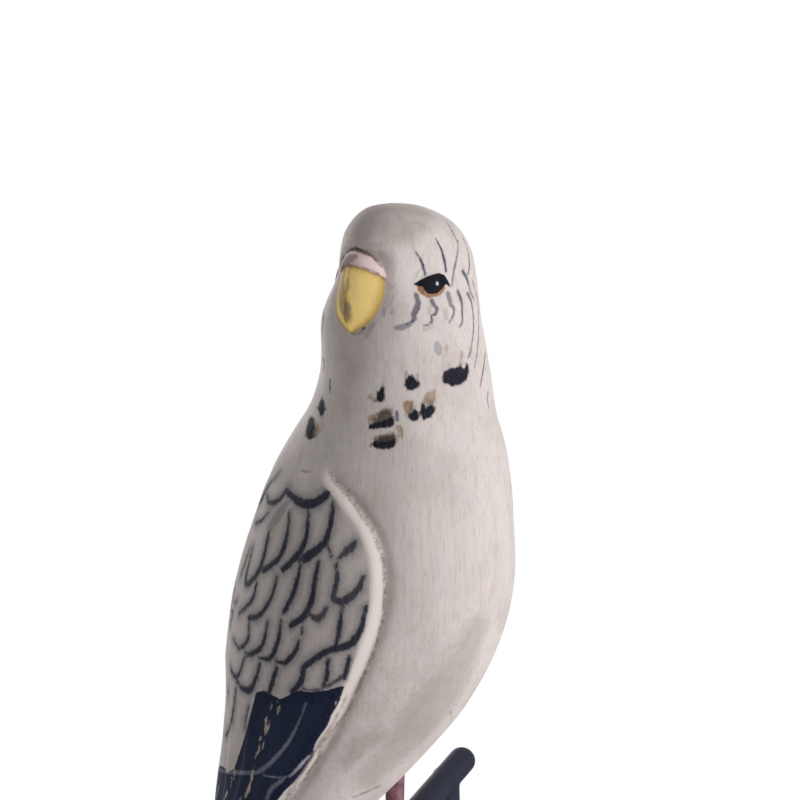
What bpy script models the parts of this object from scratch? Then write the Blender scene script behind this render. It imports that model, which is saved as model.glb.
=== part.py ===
"""Carved and painted budgerigar on a twig stand.

The bird is one carved block of wood. It is lofted from horizontal sections, and the wings, beak,
eyes and knife facets are carved into the loft. Two painted metal legs sit in drilled sockets in the
belly and grip a forked metal twig, which a countersunk screw holds on a round foot plate.

Frame: metres, +Z up, the bird's breast faces -Y and its left side is +X. The origin is the centre of
the foot plate's underside. The head is turned to the bird's right, over the wing.
"""

import math
from collections import namedtuple

import bmesh
import bpy
import numpy as np
from mathutils import Matrix, Vector

MM = 0.001

# Foot plate
PLATE_DIAMETER = 90.0 * MM
PLATE_THICKNESS = 5.0 * MM
PLATE_EDGE = 0.8 * MM
PLATE_SIDES = 56

# Twig: a slanting bar with round ends on an upright stem
BAR_DIAMETER = 5.3 * MM
BAR_LOW_END = -23.0 * MM
BAR_HIGH_END = 35.2 * MM
BAR_Y = 0.5 * MM
BAR_SLOPE = math.radians(18.6)
BAR_ABOVE_TAIL_TIP = 63.5 * MM
STEM_X = 28.9 * MM
STEM_TOP_DIAMETER = 5.4 * MM
STEM_FOOT_DIAMETER = 8.6 * MM
TWIG_SIDES = 20

# Legs and feet
LEG_DIAMETER = 3.4 * MM
LEFT_LEG_X = 11.2 * MM
RIGHT_LEG_X = -10.2 * MM
LEFT_SOCKET_Y = 2.5 * MM
RIGHT_SOCKET_Y = 12.0 * MM
SOCKET_TOP = 87.0 * MM
ANKLE_DIAMETER = 3.9 * MM
TOE_DIAMETER = 2.1 * MM
CLAW_DIAMETER = 0.7 * MM
TOE_SPREAD = 2.7 * MM
TOE_WRAP = math.radians(112.0)
LEG_SIDES = 12
TOE_SIDES = 8
TOE_STEPS = 9
CLAW_FROM = 0.7

Leg = namedtuple("Leg", "name x socket_y")
LEGS = (
    Leg("left_leg", LEFT_LEG_X, LEFT_SOCKET_Y),
    Leg("right_leg", RIGHT_LEG_X, RIGHT_SOCKET_Y),
)

# Screw up through the plate into the stem
SCREW_DIAMETER = 4.0 * MM
SCREW_HEAD_DIAMETER = 7.6 * MM
SCREW_HEAD_HEIGHT = 2.2 * MM
SCREW_LENGTH = 15.0 * MM
SCREW_SOCKET_DIAMETER = 2.5 * MM
SCREW_SOCKET_DEPTH = 1.4 * MM
SCREW_SIDES = 24

# Play between pieces that touch or fit
GAP = 0.3 * MM

# The bird hangs this far above the plate at its lowest point, the tail tip
TAIL_CLEARANCE = 8.0 * MM

# Sections of the carved block, in millimetres, from the tail tip up to the crown. Each row gives
# height, half width across, half depth along, centre x, centre y, and the turn of the section in
# degrees from the breast towards the bird's right.
SECTIONS = (
    (0.0, 0.0, 0.0, 0.0, 38.6, 0.0),
    (0.9, 3.6, 1.5, 0.0, 38.4, 0.0),
    (4.0, 5.4, 2.1, 0.0, 37.8, 0.0),
    (13.0, 6.8, 2.5, 0.0, 36.3, 0.0),
    (23.0, 7.6, 2.8, 0.0, 34.7, 0.0),
    (33.0, 8.1, 3.2, 0.0, 32.9, 0.0),
    (43.0, 8.6, 4.4, 0.0, 30.4, 0.0),
    (52.0, 9.4, 6.6, 0.0, 26.8, 0.0),
    (60.0, 10.4, 9.4, 0.0, 22.4, 0.0),
    (67.5, 12.0, 13.6, 0.0, 17.6, 0.0),
    (75.0, 13.8, 17.0, 0.0, 13.2, 0.0),
    (83.0, 16.2, 19.9, 0.0, 8.9, 0.0),
    (91.0, 18.6, 22.5, 0.0, 5.2, 0.0),
    (100.0, 20.2, 25.0, 0.0, 2.3, 0.0),
    (109.0, 21.0, 26.2, 0.0, 0.2, 0.0),
    (118.0, 20.8, 25.7, 0.0, -1.6, 0.0),
    (127.0, 19.8, 24.1, 0.0, -3.4, 0.0),
    (135.0, 18.8, 21.8, 0.0, -4.6, 0.0),
    (142.0, 17.6, 19.0, 0.0, -5.9, 0.0),
    (149.0, 16.1, 16.4, 0.0, -7.0, 50.0),
    (156.0, 14.7, 15.3, 0.0, -7.2, 100.0),
    (163.0, 13.6, 14.6, 0.0, -7.0, 100.0),
    (170.0, 11.9, 13.4, 0.0, -7.2, 100.0),
    (175.0, 10.7, 12.6, -0.2, -7.2, 100.0),
    (179.4, 8.5, 10.4, -1.4, -7.1, 100.0),
    (182.5, 4.7, 5.9, -3.2, -6.9, 100.0),
    (183.6, 0.0, 0.0, -4.4, -6.8, 100.0),
)

# Mesh rows between the neighbouring sections above
ROWS = (1, 1, 1, 1, 1, 1, 2, 2, 3, 3, 3, 3, 3, 3, 3, 3, 3, 3, 3, 3, 4, 6, 6, 5, 4, 3)

# The wing's front edge: height above the tail tip in millimetres, and angle round the section from
# the breast, in degrees. The carved edge runs out this far past SHOULDER and WING_TIP, and has its
# full relief this far inside them.
WING_EDGE = (
    (0.0, 118.0),
    (30.0, 128.0),
    (46.0, 142.0),
    (52.0, 128.0),
    (60.0, 106.0),
    (68.0, 91.0),
    (75.5, 81.5),
    (86.0, 75.5),
    (98.0, 71.0),
    (108.0, 67.0),
    (115.0, 66.0),
    (122.0, 68.5),
    (128.0, 75.5),
    (133.0, 87.0),
    (137.0, 100.0),
    (142.0, 102.0),
    (190.0, 100.0),
)
SHOULDER = 138.0
WING_TIP = 45.0
RUN_OUT_ABOVE = 1.0
FULL_BELOW = 13.0
RUN_OUT_BELOW = 2.0
FULL_ABOVE = 9.0
WING_RELIEF = 1.7
EDGE_BEVEL = 2.1
EDGE_GROOVE = 0.5
EDGE_MARGIN = 9.0

# Where the folded wings meet the back, in degrees each side of the spine
BACK_GAP_HIGH = 34.0
BACK_GAP_LOW = 9.0
BACK_RELIEF = 0.7

# Head, in millimetres, and in degrees from the beak's own direction. What is carved on the head keeps
# its depth below the crown.
CROWN = SECTIONS[-1][0]
HEAD_TURN = 100.0
FACE_DEPTH = 25.6
FACE_BLEND = 13.0
BEAK_GROOVE = 0.7
BROW_DEPTH = 5.6
BROW_RISE = 0.5
EYE_ANGLE = 68.0
EYE_DEPTH = 14.2
EYE_RADIUS = 2.4
EYE_RISE = 0.7
SOCKET_RADIUS = 4.6
SOCKET_DEPTH = 0.8
CHEEK_DEPTH = 21.1
CHEEK_ANGLE = 48.0
CHEEK_RISE = 0.5
LOBE_ROOT = 4.0
LOBE_SIDES = 14

# Beak and the swollen skin above it, from below: depth below the crown, rise over the face on the
# middle line, and half width, in millimetres
BEAK = (
    (22.0, 0.3, 0.0),
    (21.5, 0.8, 1.5),
    (20.2, 1.4, 3.4),
    (18.2, 1.9, 4.8),
    (15.6, 2.1, 5.5),
    (12.8, 1.9, 5.5),
    (10.8, 1.5, 5.2),
)
CERE = (
    (11.6, 0.8, 5.0),
    (10.6, 1.5, 5.3),
    (9.0, 1.3, 5.1),
    (7.7, 0.8, 4.5),
    (7.0, 0.0, 3.4),
)
GROOVE_RUN_OUT = 2.0

# Thighs swell round the tops of the legs: height, angle from the breast in degrees, and rise. The
# right one is cut lower than the left, and covers more of its leg.
RIGHT_THIGH = (72.0, 52.0, 2.4)
LEFT_THIGH = (80.0, 52.0, 0.9)
THIGH_HEIGHT = 9.0
THIGH_WIDTH = 24.0

# Knife facets: flat patches this large, standing this far in or out
FACET_HEIGHT = 9.0
FACETS_AROUND = 14
FACET_DEPTH = 0.28
FACET_SEED = 7

# Sectors between the anchor angles of one side of a ring, with the columns in each
SIDE_COLUMNS = (8, 5, 5, 7, 2)


def clear_scene():
    """Remove every object of the open scene."""
    for item in list(bpy.data.objects):
        bpy.data.objects.remove(item, do_unlink=True)


def paint(name, colour, roughness, metallic):
    """A Principled material of one plain colour."""
    material = bpy.data.materials.new(name)
    material.use_nodes = True
    shader = material.node_tree.nodes["Principled BSDF"]
    shader.inputs["Base Color"].default_value = (*colour, 1.0)
    shader.inputs["Roughness"].default_value = roughness
    shader.inputs["Metallic"].default_value = metallic
    return material


def make_object(name, mesh_data, material=None):
    """An object of the open scene from a bmesh, with its material."""
    mesh = bpy.data.meshes.new(name)
    bmesh.ops.recalc_face_normals(mesh_data, faces=mesh_data.faces)
    mesh_data.to_mesh(mesh)
    mesh_data.free()
    mesh.shade_smooth()
    mesh.set_sharp_from_angle(angle=math.radians(40.0))
    item = bpy.data.objects.new(name, mesh)
    bpy.context.scene.collection.objects.link(item)
    if material:
        mesh.materials.append(material)
    return item


def make_cutter(name, mesh_data):
    """A tool for a Boolean, which is shown as wire and not built."""
    item = make_object(name, mesh_data)
    item.hide_render = True
    item.display_type = "WIRE"
    return item


def combine(target, tools, operation):
    """Put Boolean modifiers on the target, one for each tool."""
    for tool in tools:
        modifier = target.modifiers.new(tool.name, "BOOLEAN")
        modifier.operation = operation
        modifier.solver = "EXACT"
        modifier.object = tool


def skin(rings):
    """A closed bmesh through rings of points. A ring of one point is a pole."""
    shell = bmesh.new()
    loops = [[shell.verts.new(point) for point in ring] for ring in rings]
    for low, high in zip(loops, loops[1:]):
        count = max(len(low), len(high))
        for k in range(count):
            after = (k + 1) % count
            if len(low) == 1:
                shell.faces.new((low[0], high[after], high[k]))
            elif len(high) == 1:
                shell.faces.new((low[k], low[after], high[0]))
            else:
                shell.faces.new((low[k], low[after], high[after], high[k]))
    for loop in (loops[0], loops[-1]):
        if len(loop) > 2:
            shell.faces.new(loop)
    return shell


def tube(path, radii, sides):
    """A bmesh tube along a path of vectors, with its own radius at each point."""
    rings = []
    side = None
    for k, (point, radius) in enumerate(zip(path, radii)):
        ahead = (path[min(k + 1, len(path) - 1)] - path[max(k - 1, 0)]).normalized()
        if side is None:
            side = ahead.orthogonal().normalized()
        side = (side - ahead * side.dot(ahead)).normalized()
        up = ahead.cross(side)
        if radius <= 0.0:
            rings.append([point])
            continue
        turns = [math.tau * n / sides for n in range(sides)]
        rings.append([point + (side * math.cos(t) + up * math.sin(t)) * radius for t in turns])
    return skin(rings)


def round_end(centre, ahead, radius, steps=5):
    """Points and radii of a half ball that closes a rod, from its pole to its rim."""
    turns = [0.5 * math.pi * n / steps for n in range(steps + 1)]
    points = [centre + ahead * (radius * math.cos(t)) for t in turns]
    return points, [radius * math.sin(t) for t in turns]


def rod(start, end, start_radius, end_radius, sides):
    """A bmesh rod whose two ends are half balls."""
    along = (end - start).normalized()
    low_points, low_radii = round_end(start, -along, start_radius)
    high_points, high_radii = round_end(end, along, end_radius)
    path = low_points + high_points[::-1]
    return tube(path, low_radii + high_radii[::-1], sides)


def smooth(table, place):
    """A smooth curve through a table's rows. A place is a row number, with fractions between rows."""
    table = np.asarray(table, float)
    slope = np.gradient(table, axis=0)
    row = np.clip(np.floor(place).astype(int), 0, len(table) - 2)
    s = (place - row)[:, None]
    start = (2 * s**3 - 3 * s**2 + 1) * table[row] + (s**3 - 2 * s**2 + s) * slope[row]
    end = (3 * s**2 - 2 * s**3) * table[row + 1] + (s**3 - s**2) * slope[row + 1]
    return start + end


def ease(low, high, value):
    """0 below low, 1 above high, and a smooth turn between them."""
    s = np.clip((value - low) / (high - low), 0.0, 1.0)
    return s * s * (3.0 - 2.0 * s)


def hill(x, y):
    """A round hill of height 1, which falls away over a distance of 1 in x and y."""
    return np.exp(-x * x - y * y)


def direction(turn):
    """The plan direction at an angle from the breast towards the bird's right."""
    angle = np.radians(turn)
    return np.stack([-np.sin(angle), -np.cos(angle)], axis=-1)


def wing_edge_angle(height):
    """The angle of the wing's front edge at a height."""
    heights = np.array(WING_EDGE)[:, 0]
    place = np.interp(np.atleast_1d(height), heights, np.arange(len(heights)))
    return smooth(WING_EDGE, place)[:, 1]


def back_gap(height):
    """Half the angle of the strip of back that shows between the wings."""
    return BACK_GAP_LOW + (BACK_GAP_HIGH - BACK_GAP_LOW) * ease(WING_TIP, SHOULDER, height)


def ring_angles(height):
    """Column angles of one ring. They crowd at the wing's edge, and on the head at the beak."""
    edge = wing_edge_angle(height)[0]
    inner = 180.0 - back_gap(height)
    body = np.array([0.0, edge - EDGE_MARGIN, edge, edge + EDGE_MARGIN, inner, 180.0])
    head = np.array([0.0, HEAD_TURN - 26.0, HEAD_TURN, HEAD_TURN + 26.0, 160.0, 180.0])
    far = np.array([0.0, 52.0, 74.0, 96.0, 150.0, 180.0])
    full = CROWN - FACE_DEPTH
    share = ease(full - FACE_BLEND, full, height)
    right = body + (head - body) * share
    left = body + (far - body) * share
    knots = np.cumsum((0,) + SIDE_COLUMNS)
    columns = np.arange(knots[-1] + 1)
    right_half = np.interp(columns, knots, right)
    left_half = 360.0 - np.interp(columns, knots, left)[::-1]
    return np.concatenate([right_half, left_half[1:-1]])


def wing_relief(angle, height, radius):
    """Carved height of the wings, in millimetres: a raised wing, its bevel and the groove beside it."""
    side = np.abs((angle + 180.0) % 360.0 - 180.0)
    depth = ease(SHOULDER + RUN_OUT_ABOVE, SHOULDER - FULL_BELOW, height)
    depth = depth * ease(WING_TIP - RUN_OUT_BELOW, WING_TIP + FULL_ABOVE, height)
    inside = np.radians(side - wing_edge_angle(height)) * radius
    step = ease(-EDGE_BEVEL, 0.0, inside)
    groove = hill((inside + EDGE_BEVEL) / 1.2, 0.0)
    inner = np.radians(180.0 - back_gap(height) - side) * radius
    back = ease(-0.4, 1.2, inner)
    lost = (WING_RELIEF - BACK_RELIEF) * (1.0 - ease(0.0, 26.0, inner))
    wing = step * (WING_RELIEF - lost) - BACK_RELIEF * (1.0 - back)
    return depth * (wing - EDGE_GROOVE * groove)


def head_relief(angle, height, radius):
    """Carved height of the groove round the beak, the brow, eye sockets and cheeks, in millimetres."""
    turn = (angle - HEAD_TURN + 180.0) % 360.0 - 180.0
    side = radius * np.sin(np.radians(turn))
    depths, _, widths = np.array(BEAK + CERE[1:]).T
    heights = CROWN - depths
    width = np.interp(height, heights, widths)
    tall = ease(heights[0] - GROOVE_RUN_OUT, heights[0] + 0.5, height)
    tall = tall * ease(heights[-1] + 0.5, heights[-1], height)
    groove = -BEAK_GROOVE * tall * hill(np.maximum(np.abs(side) - width, 0.0) / 1.6, 0.0)
    brow = BROW_RISE * hill(side / 6.5, (height - CROWN + BROW_DEPTH) / 1.8)
    eye_out = radius * np.radians(np.abs(turn) - EYE_ANGLE)
    eye_up = height - CROWN + EYE_DEPTH
    socket = -SOCKET_DEPTH * hill((eye_out + 1.2) / SOCKET_RADIUS, (eye_up - 1.0) / (SOCKET_RADIUS * 0.75))
    cheek = CHEEK_RISE * hill((np.abs(turn) - CHEEK_ANGLE) / 24.0, (height - CROWN + CHEEK_DEPTH) / 5.0)
    return np.where(np.abs(turn) < 80.0, groove + brow, 0.0) + socket + cheek


def thigh_relief(angle, height):
    """Carved height of the thighs round the legs, in millimetres."""
    side = (angle + 180.0) % 360.0 - 180.0
    relief = np.zeros_like(angle)
    for sign, (middle, turn, rise) in ((1, RIGHT_THIGH), (-1, LEFT_THIGH)):
        relief += rise * hill((side - sign * turn) / THIGH_WIDTH, (height - middle) / THIGH_HEIGHT)
    return relief


def facets(angle, height):
    """Knife facets, in millimetres: a coarse net of heights with straight lines between its knots."""
    random = np.random.default_rng(FACET_SEED)
    rows = int(SECTIONS[-1][0] / FACET_HEIGHT) + 3
    net = random.uniform(-FACET_DEPTH, FACET_DEPTH, (rows, FACETS_AROUND))
    up = height / FACET_HEIGHT
    row = np.floor(up).astype(int)
    around = (angle / 360.0 * FACETS_AROUND + 0.5 * (row % 2)) % FACETS_AROUND
    column = np.floor(around).astype(int)
    after = (column + 1) % FACETS_AROUND
    s = around - column
    t = up - row
    low = net[row, column] * (1.0 - s) + net[row, after] * s
    high = net[row + 1, column] * (1.0 - s) + net[row + 1, after] * s
    return low * (1.0 - t) + high * t


def block_rings(base_height):
    """Rings of points of the carved block, from the tail tip to the crown, in metres."""
    places = np.concatenate(
        [k + np.arange(count) / count for k, count in enumerate(ROWS)] + [[len(SECTIONS) - 1.0]]
    )
    rings = []
    for height, across, along, x, y, turn in smooth(SECTIONS, places):
        centre = np.array([x, y])
        if min(across, along) < 0.05:
            rings.append([Vector((x * MM, y * MM, base_height + height * MM))])
            continue
        angle = ring_angles(height)
        local = np.radians(angle - turn)
        ahead = np.cos(local)[:, None] * direction(turn)
        aside = np.sin(local)[:, None] * direction(turn + 90.0)
        out = ahead * across + aside * along
        out /= np.linalg.norm(out, axis=1, keepdims=True)
        level = np.full_like(angle, height)
        radius = math.sqrt(across * along)
        taper = ease(2.0, 9.0, min(across, along))
        relief = wing_relief(angle, level, radius) + head_relief(angle, level, radius)
        relief = relief + thigh_relief(angle, level) + facets(angle, level) * taper
        plan = centre + ahead * along + aside * across + out * relief[:, None]
        rings.append([Vector((px * MM, py * MM, base_height + height * MM)) for px, py in plan])
    return rings


def section_at(height):
    """The block's own section at a height: half widths, centre and turn."""
    heights = np.array(SECTIONS)[:, 0]
    place = np.interp([height], heights, np.arange(len(heights)))
    return smooth(SECTIONS, place)[0, 1:]


def face_lobe(levels, base_height):
    """A closed lobe that stands on the middle line of the face, as the beak does."""
    rings = []
    ahead, aside = direction(HEAD_TURN), direction(HEAD_TURN + 90.0)
    for depth, rise, half_width in levels:
        height = CROWN - depth
        _, along, x, y, _ = section_at(height)
        root = np.array([x, y]) + ahead * (along - LOBE_ROOT)
        up = base_height + height * MM
        if half_width == 0.0:
            tip = root + ahead * (LOBE_ROOT + rise)
            rings.append([Vector((*(tip * MM), up))])
            continue
        turns = np.arange(LOBE_SIDES) * math.tau / LOBE_SIDES
        reach = np.where(np.cos(turns) > 0.0, LOBE_ROOT + rise, LOBE_ROOT / 2)
        plan = root + (np.cos(turns) * reach)[:, None] * ahead + half_width * np.sin(turns)[:, None] * aside
        rings.append([Vector((*(point * MM), up)) for point in plan])
    return skin(rings)


def eyeball(turn, base_height):
    """A flattened ball that bulges from an eye socket."""
    height = CROWN - EYE_DEPTH
    across, along, x, y, section_turn = section_at(height)
    local = math.radians(turn - section_turn)
    ahead, aside = direction(section_turn), direction(section_turn + 90.0)
    out = ahead * math.cos(local) * across + aside * math.sin(local) * along
    out = Vector((*out, 0.0)).normalized()
    plan = np.array([x, y]) + ahead * math.cos(local) * along + aside * math.sin(local) * across
    place = Vector((*plan, height)) - out * SOCKET_DEPTH
    place = Vector((place.x * MM, place.y * MM, base_height + place.z * MM))
    shape = Matrix.Diagonal((EYE_RISE * MM, EYE_RADIUS * MM, EYE_RADIUS * MM, 1.0))
    ball = bmesh.new()
    frame = Matrix.Translation(place) @ out.to_track_quat("X", "Z").to_matrix().to_4x4() @ shape
    bmesh.ops.create_uvsphere(ball, u_segments=14, v_segments=10, radius=1.0, matrix=frame)
    return ball


def twig_axis(x, height_at_left_foot):
    """A point on the bar's axis."""
    return Vector((x, BAR_Y, height_at_left_foot + (x - LEFT_LEG_X) * math.tan(BAR_SLOPE)))


def build_twig(bar_height, material):
    """The forked twig: the slanting bar joined to its stem, with the screw's hole below."""
    bar = rod(
        twig_axis(BAR_LOW_END, bar_height),
        twig_axis(BAR_HIGH_END, bar_height),
        BAR_DIAMETER / 2,
        BAR_DIAMETER / 2,
        TWIG_SIDES,
    )
    twig = make_object("twig_perch", bar, material)
    foot = Vector((STEM_X, BAR_Y, PLATE_THICKNESS + GAP))
    top = twig_axis(STEM_X, bar_height)
    top_points, top_radii = round_end(top, Vector((0, 0, 1)), STEM_TOP_DIAMETER / 2)
    path = [foot] + top_points[::-1]
    stem = make_cutter("stem", tube(path, [STEM_FOOT_DIAMETER / 2] + top_radii[::-1], TWIG_SIDES))
    hole_top = GAP + SCREW_LENGTH + GAP
    hole = make_cutter(
        "stem_hole",
        cylinder(STEM_X, BAR_Y, 0.0, hole_top, SCREW_DIAMETER / 2 + GAP, SCREW_SIDES),
    )
    combine(twig, [stem], "UNION")
    combine(twig, [hole], "DIFFERENCE")
    return twig


def cylinder(x, y, low, high, radius, sides):
    """A bmesh cylinder that stands upright."""
    shell = bmesh.new()
    place = Matrix.Translation((x, y, (low + high) / 2))
    bmesh.ops.create_cone(
        shell,
        cap_ends=True,
        segments=sides,
        radius1=radius,
        radius2=radius,
        depth=high - low,
        matrix=place,
    )
    return shell


def build_plate(material):
    """The round foot plate, with its edges broken and a countersunk hole under the stem."""
    plate = make_object(
        "base_plate",
        cylinder(0.0, 0.0, 0.0, PLATE_THICKNESS, PLATE_DIAMETER / 2, PLATE_SIDES),
        material,
    )
    bevel = plate.modifiers.new("broken_edges", "BEVEL")
    bevel.width = PLATE_EDGE
    bevel.segments = 1
    bevel.limit_method = "ANGLE"
    bevel.angle_limit = math.radians(60.0)
    reach = PLATE_THICKNESS
    head = SCREW_HEAD_DIAMETER / 2 + GAP
    neck = SCREW_DIAMETER / 2 + GAP
    seat = GAP + SCREW_HEAD_HEIGHT
    levels = ((-reach, head), (GAP, head), (seat, neck), (PLATE_THICKNESS + reach, neck))
    combine(plate, [make_cutter("plate_hole", turned(levels, STEM_X, BAR_Y))], "DIFFERENCE")
    return plate


def turned(levels, x, y):
    """A bmesh turned round an upright axis from pairs of height and radius."""
    path = [Vector((x, y, height)) for height, _ in levels]
    return tube(path, [radius for _, radius in levels], SCREW_SIDES)


def build_screw(material):
    """The countersunk screw, head down, with its hexagon socket."""
    neck = SCREW_DIAMETER / 2
    seat = GAP + SCREW_HEAD_HEIGHT
    end = GAP + SCREW_LENGTH
    point = 0.5 * MM
    levels = ((GAP, SCREW_HEAD_DIAMETER / 2), (seat, neck), (end - point, neck), (end, neck - point))
    screw = make_object("base_screw", turned(levels, STEM_X, BAR_Y), material)
    top = GAP + SCREW_SOCKET_DEPTH
    key = cylinder(STEM_X, BAR_Y, -SCREW_SOCKET_DEPTH, top, SCREW_SOCKET_DIAMETER / 2, 6)
    combine(screw, [make_cutter("key_socket", key)], "DIFFERENCE")
    return screw


def leg_line(leg, tail_tip, bar_height):
    """A leg's ankle and its top inside the socket."""
    grip = twig_axis(leg.x, bar_height)
    up = Vector((-math.sin(BAR_SLOPE), 0.0, math.cos(BAR_SLOPE)))
    ankle = grip + up * (BAR_DIAMETER / 2 + GAP + ANKLE_DIAMETER / 2)
    return ankle, Vector((leg.x, leg.socket_y, tail_tip + SOCKET_TOP))


def toe(leg, bar_height, forward, aside):
    """One toe, curled round the bar from the ankle to its claw."""
    grip = twig_axis(leg.x, bar_height)
    along = Vector((math.cos(BAR_SLOPE), 0.0, math.sin(BAR_SLOPE)))
    up = Vector((-math.sin(BAR_SLOPE), 0.0, math.cos(BAR_SLOPE)))
    front = Vector((0.0, -forward, 0.0))
    reach = BAR_DIAMETER / 2 + GAP + TOE_DIAMETER / 2
    path = []
    radii = []
    for step in range(TOE_STEPS + 1):
        share = step / TOE_STEPS
        turn = TOE_WRAP * share
        spread = aside * (0.25 + 0.75 * math.sin(0.5 * math.pi * min(share * 1.6, 1.0)))
        path.append(grip + (up * math.cos(turn) + front * math.sin(turn)) * reach + along * spread)
        claw = max(0.0, share - CLAW_FROM) / (1.0 - CLAW_FROM)
        radii.append((TOE_DIAMETER * (1.0 - claw) + CLAW_DIAMETER * claw) / 2)
    return tube(path, radii, TOE_SIDES)


def build_leg(leg, tail_tip, bar_height, material):
    """A metal leg with its four toes, two to the front and two to the back of the bar."""
    ankle, top = leg_line(leg, tail_tip, bar_height)
    end_points, end_radii = round_end(ankle, (ankle - top).normalized(), ANKLE_DIAMETER / 2)
    shin = ankle + (top - ankle).normalized() * ANKLE_DIAMETER
    path = end_points + [shin, top]
    radii = end_radii + [LEG_DIAMETER / 2, LEG_DIAMETER / 2]
    shank = make_object(leg.name, tube(path, radii, LEG_SIDES), material)
    toes = []
    for forward in (1, -1):
        for aside in (TOE_SPREAD / 2, -TOE_SPREAD / 2):
            label = f"{leg.name}_toe_{len(toes) + 1}"
            toes.append(make_cutter(label, toe(leg, bar_height, forward, aside)))
    combine(shank, toes, "UNION")
    return shank


def leg_socket(leg, tail_tip, bar_height):
    """The drill that makes a leg's socket in the belly."""
    ankle, top = leg_line(leg, tail_tip, bar_height)
    along = (top - ankle).normalized()
    start = ankle + along * ANKLE_DIAMETER
    radius = LEG_DIAMETER / 2 + GAP
    return make_cutter(f"{leg.name}_socket", tube([start, top + along * GAP], [radius, radius], LEG_SIDES))


def build_bird(tail_tip, bar_height, material):
    """The carved block: the loft with its beak and eyes, drilled for the legs."""
    block = skin(block_rings(tail_tip))
    bmesh.ops.triangulate(block, faces=block.faces, quad_method="SHORT_EDGE")
    bird = make_object("carved_body", block, material)
    added = [
        make_cutter("beak", face_lobe(BEAK, tail_tip)),
        make_cutter("cere", face_lobe(CERE, tail_tip)),
        make_cutter("near_eye", eyeball(HEAD_TURN - EYE_ANGLE, tail_tip)),
        make_cutter("far_eye", eyeball(HEAD_TURN + EYE_ANGLE, tail_tip)),
    ]
    combine(bird, added, "UNION")
    combine(bird, [leg_socket(leg, tail_tip, bar_height) for leg in LEGS], "DIFFERENCE")
    return bird


def main():
    """Build every piece of the figurine."""
    clear_scene()
    wood_paint = paint("painted_wood", (0.60, 0.54, 0.52), 0.6, 0.0)
    leg_paint = paint("rose_paint", (0.23, 0.12, 0.13), 0.45, 0.0)
    twig_paint = paint("slate_paint", (0.028, 0.033, 0.055), 0.5, 0.0)
    steel = paint("plain_steel", (0.55, 0.55, 0.56), 0.35, 1.0)
    tail_tip = PLATE_THICKNESS + TAIL_CLEARANCE
    bar_height = tail_tip + BAR_ABOVE_TAIL_TIP
    build_bird(tail_tip, bar_height, wood_paint)
    for leg in LEGS:
        build_leg(leg, tail_tip, bar_height, leg_paint)
    build_twig(bar_height, twig_paint)
    build_plate(twig_paint)
    build_screw(steel)


main()
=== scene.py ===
"""Looks of a carved and painted budgerigar on a twig stand.

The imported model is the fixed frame. The carved block is worked out again as a fine surface from the
same sections, with its wings, beak and eyes carved in relief, and painted by numbers that each point
of the mesh holds: distances in millimetres from the edge of every brush mark. The legs, the twig and
the foot plate are fine surfaces too. The screw keeps its solid and gets its steel.
"""

from __future__ import annotations

import logging
import math
from collections.abc import Callable, Sequence
from dataclasses import dataclass, field
from enum import Enum

import bpy
import numpy as np
from mathutils import Matrix, Vector

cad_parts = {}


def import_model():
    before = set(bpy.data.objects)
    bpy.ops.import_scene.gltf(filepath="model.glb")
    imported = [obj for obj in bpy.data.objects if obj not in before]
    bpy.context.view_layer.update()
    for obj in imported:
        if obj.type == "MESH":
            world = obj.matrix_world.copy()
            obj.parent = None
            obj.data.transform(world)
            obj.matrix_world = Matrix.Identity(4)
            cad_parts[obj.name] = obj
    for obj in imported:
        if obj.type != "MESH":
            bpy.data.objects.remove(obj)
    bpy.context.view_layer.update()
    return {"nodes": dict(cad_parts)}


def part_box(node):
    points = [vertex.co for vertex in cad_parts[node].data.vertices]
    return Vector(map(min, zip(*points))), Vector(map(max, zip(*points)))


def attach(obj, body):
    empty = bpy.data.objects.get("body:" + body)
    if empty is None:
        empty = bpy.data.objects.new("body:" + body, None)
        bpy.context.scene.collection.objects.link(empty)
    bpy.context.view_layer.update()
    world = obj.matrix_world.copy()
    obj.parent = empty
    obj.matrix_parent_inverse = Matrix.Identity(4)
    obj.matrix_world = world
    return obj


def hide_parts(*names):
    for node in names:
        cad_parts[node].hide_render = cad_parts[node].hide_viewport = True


LOG = logging.getLogger("figurine")
Array = np.ndarray
Curve = tuple[tuple[float, ...], ...]
MM = 0.001


def linear(colour: str) -> tuple[float, float, float, float]:
    """Turn an sRGB hex colour into linear red, green and blue, with an alpha of 1."""
    parts = [int(colour[k : k + 2], 16) / 255.0 for k in (1, 3, 5)]
    red, green, blue = [((c + 0.055) / 1.055) ** 2.4 if c > 0.04045 else c / 12.92 for c in parts]
    return red, green, blue, 1.0


def ease(low: float | Array, high: float | Array, value: Array) -> Array:
    """A smooth turn from 0 at low to 1 at high. High may lie below low."""
    s = np.clip((value - low) / (high - low), 0.0, 1.0)
    return s * s * (3.0 - 2.0 * s)


def hill(x: Array | float, y: Array | float = 0.0) -> Array:
    """A round hill of height 1, which falls away over a distance of 1 in x and y."""
    return np.exp(-x * x - y * y)


def joined(a: Array, b: Array, radius: float) -> Array:
    """The higher of two heights, with the crease between them filled to a radius."""
    return (a + b + np.sqrt((a - b) ** 2 + radius * radius)) / 2.0


def signed(angle: Array | float) -> Array | float:
    """An angle brought between -180 and 180 degrees."""
    return (angle + 180.0) % 360.0 - 180.0


def dome(away: Array) -> Array:
    """The share of a rod's radius, so many radii from its end, that makes the end a half ball."""
    return np.sqrt(np.clip(1.0 - (1.0 - np.clip(away, 0.0, 1.0)) ** 2, 1e-6, 1.0))


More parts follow.
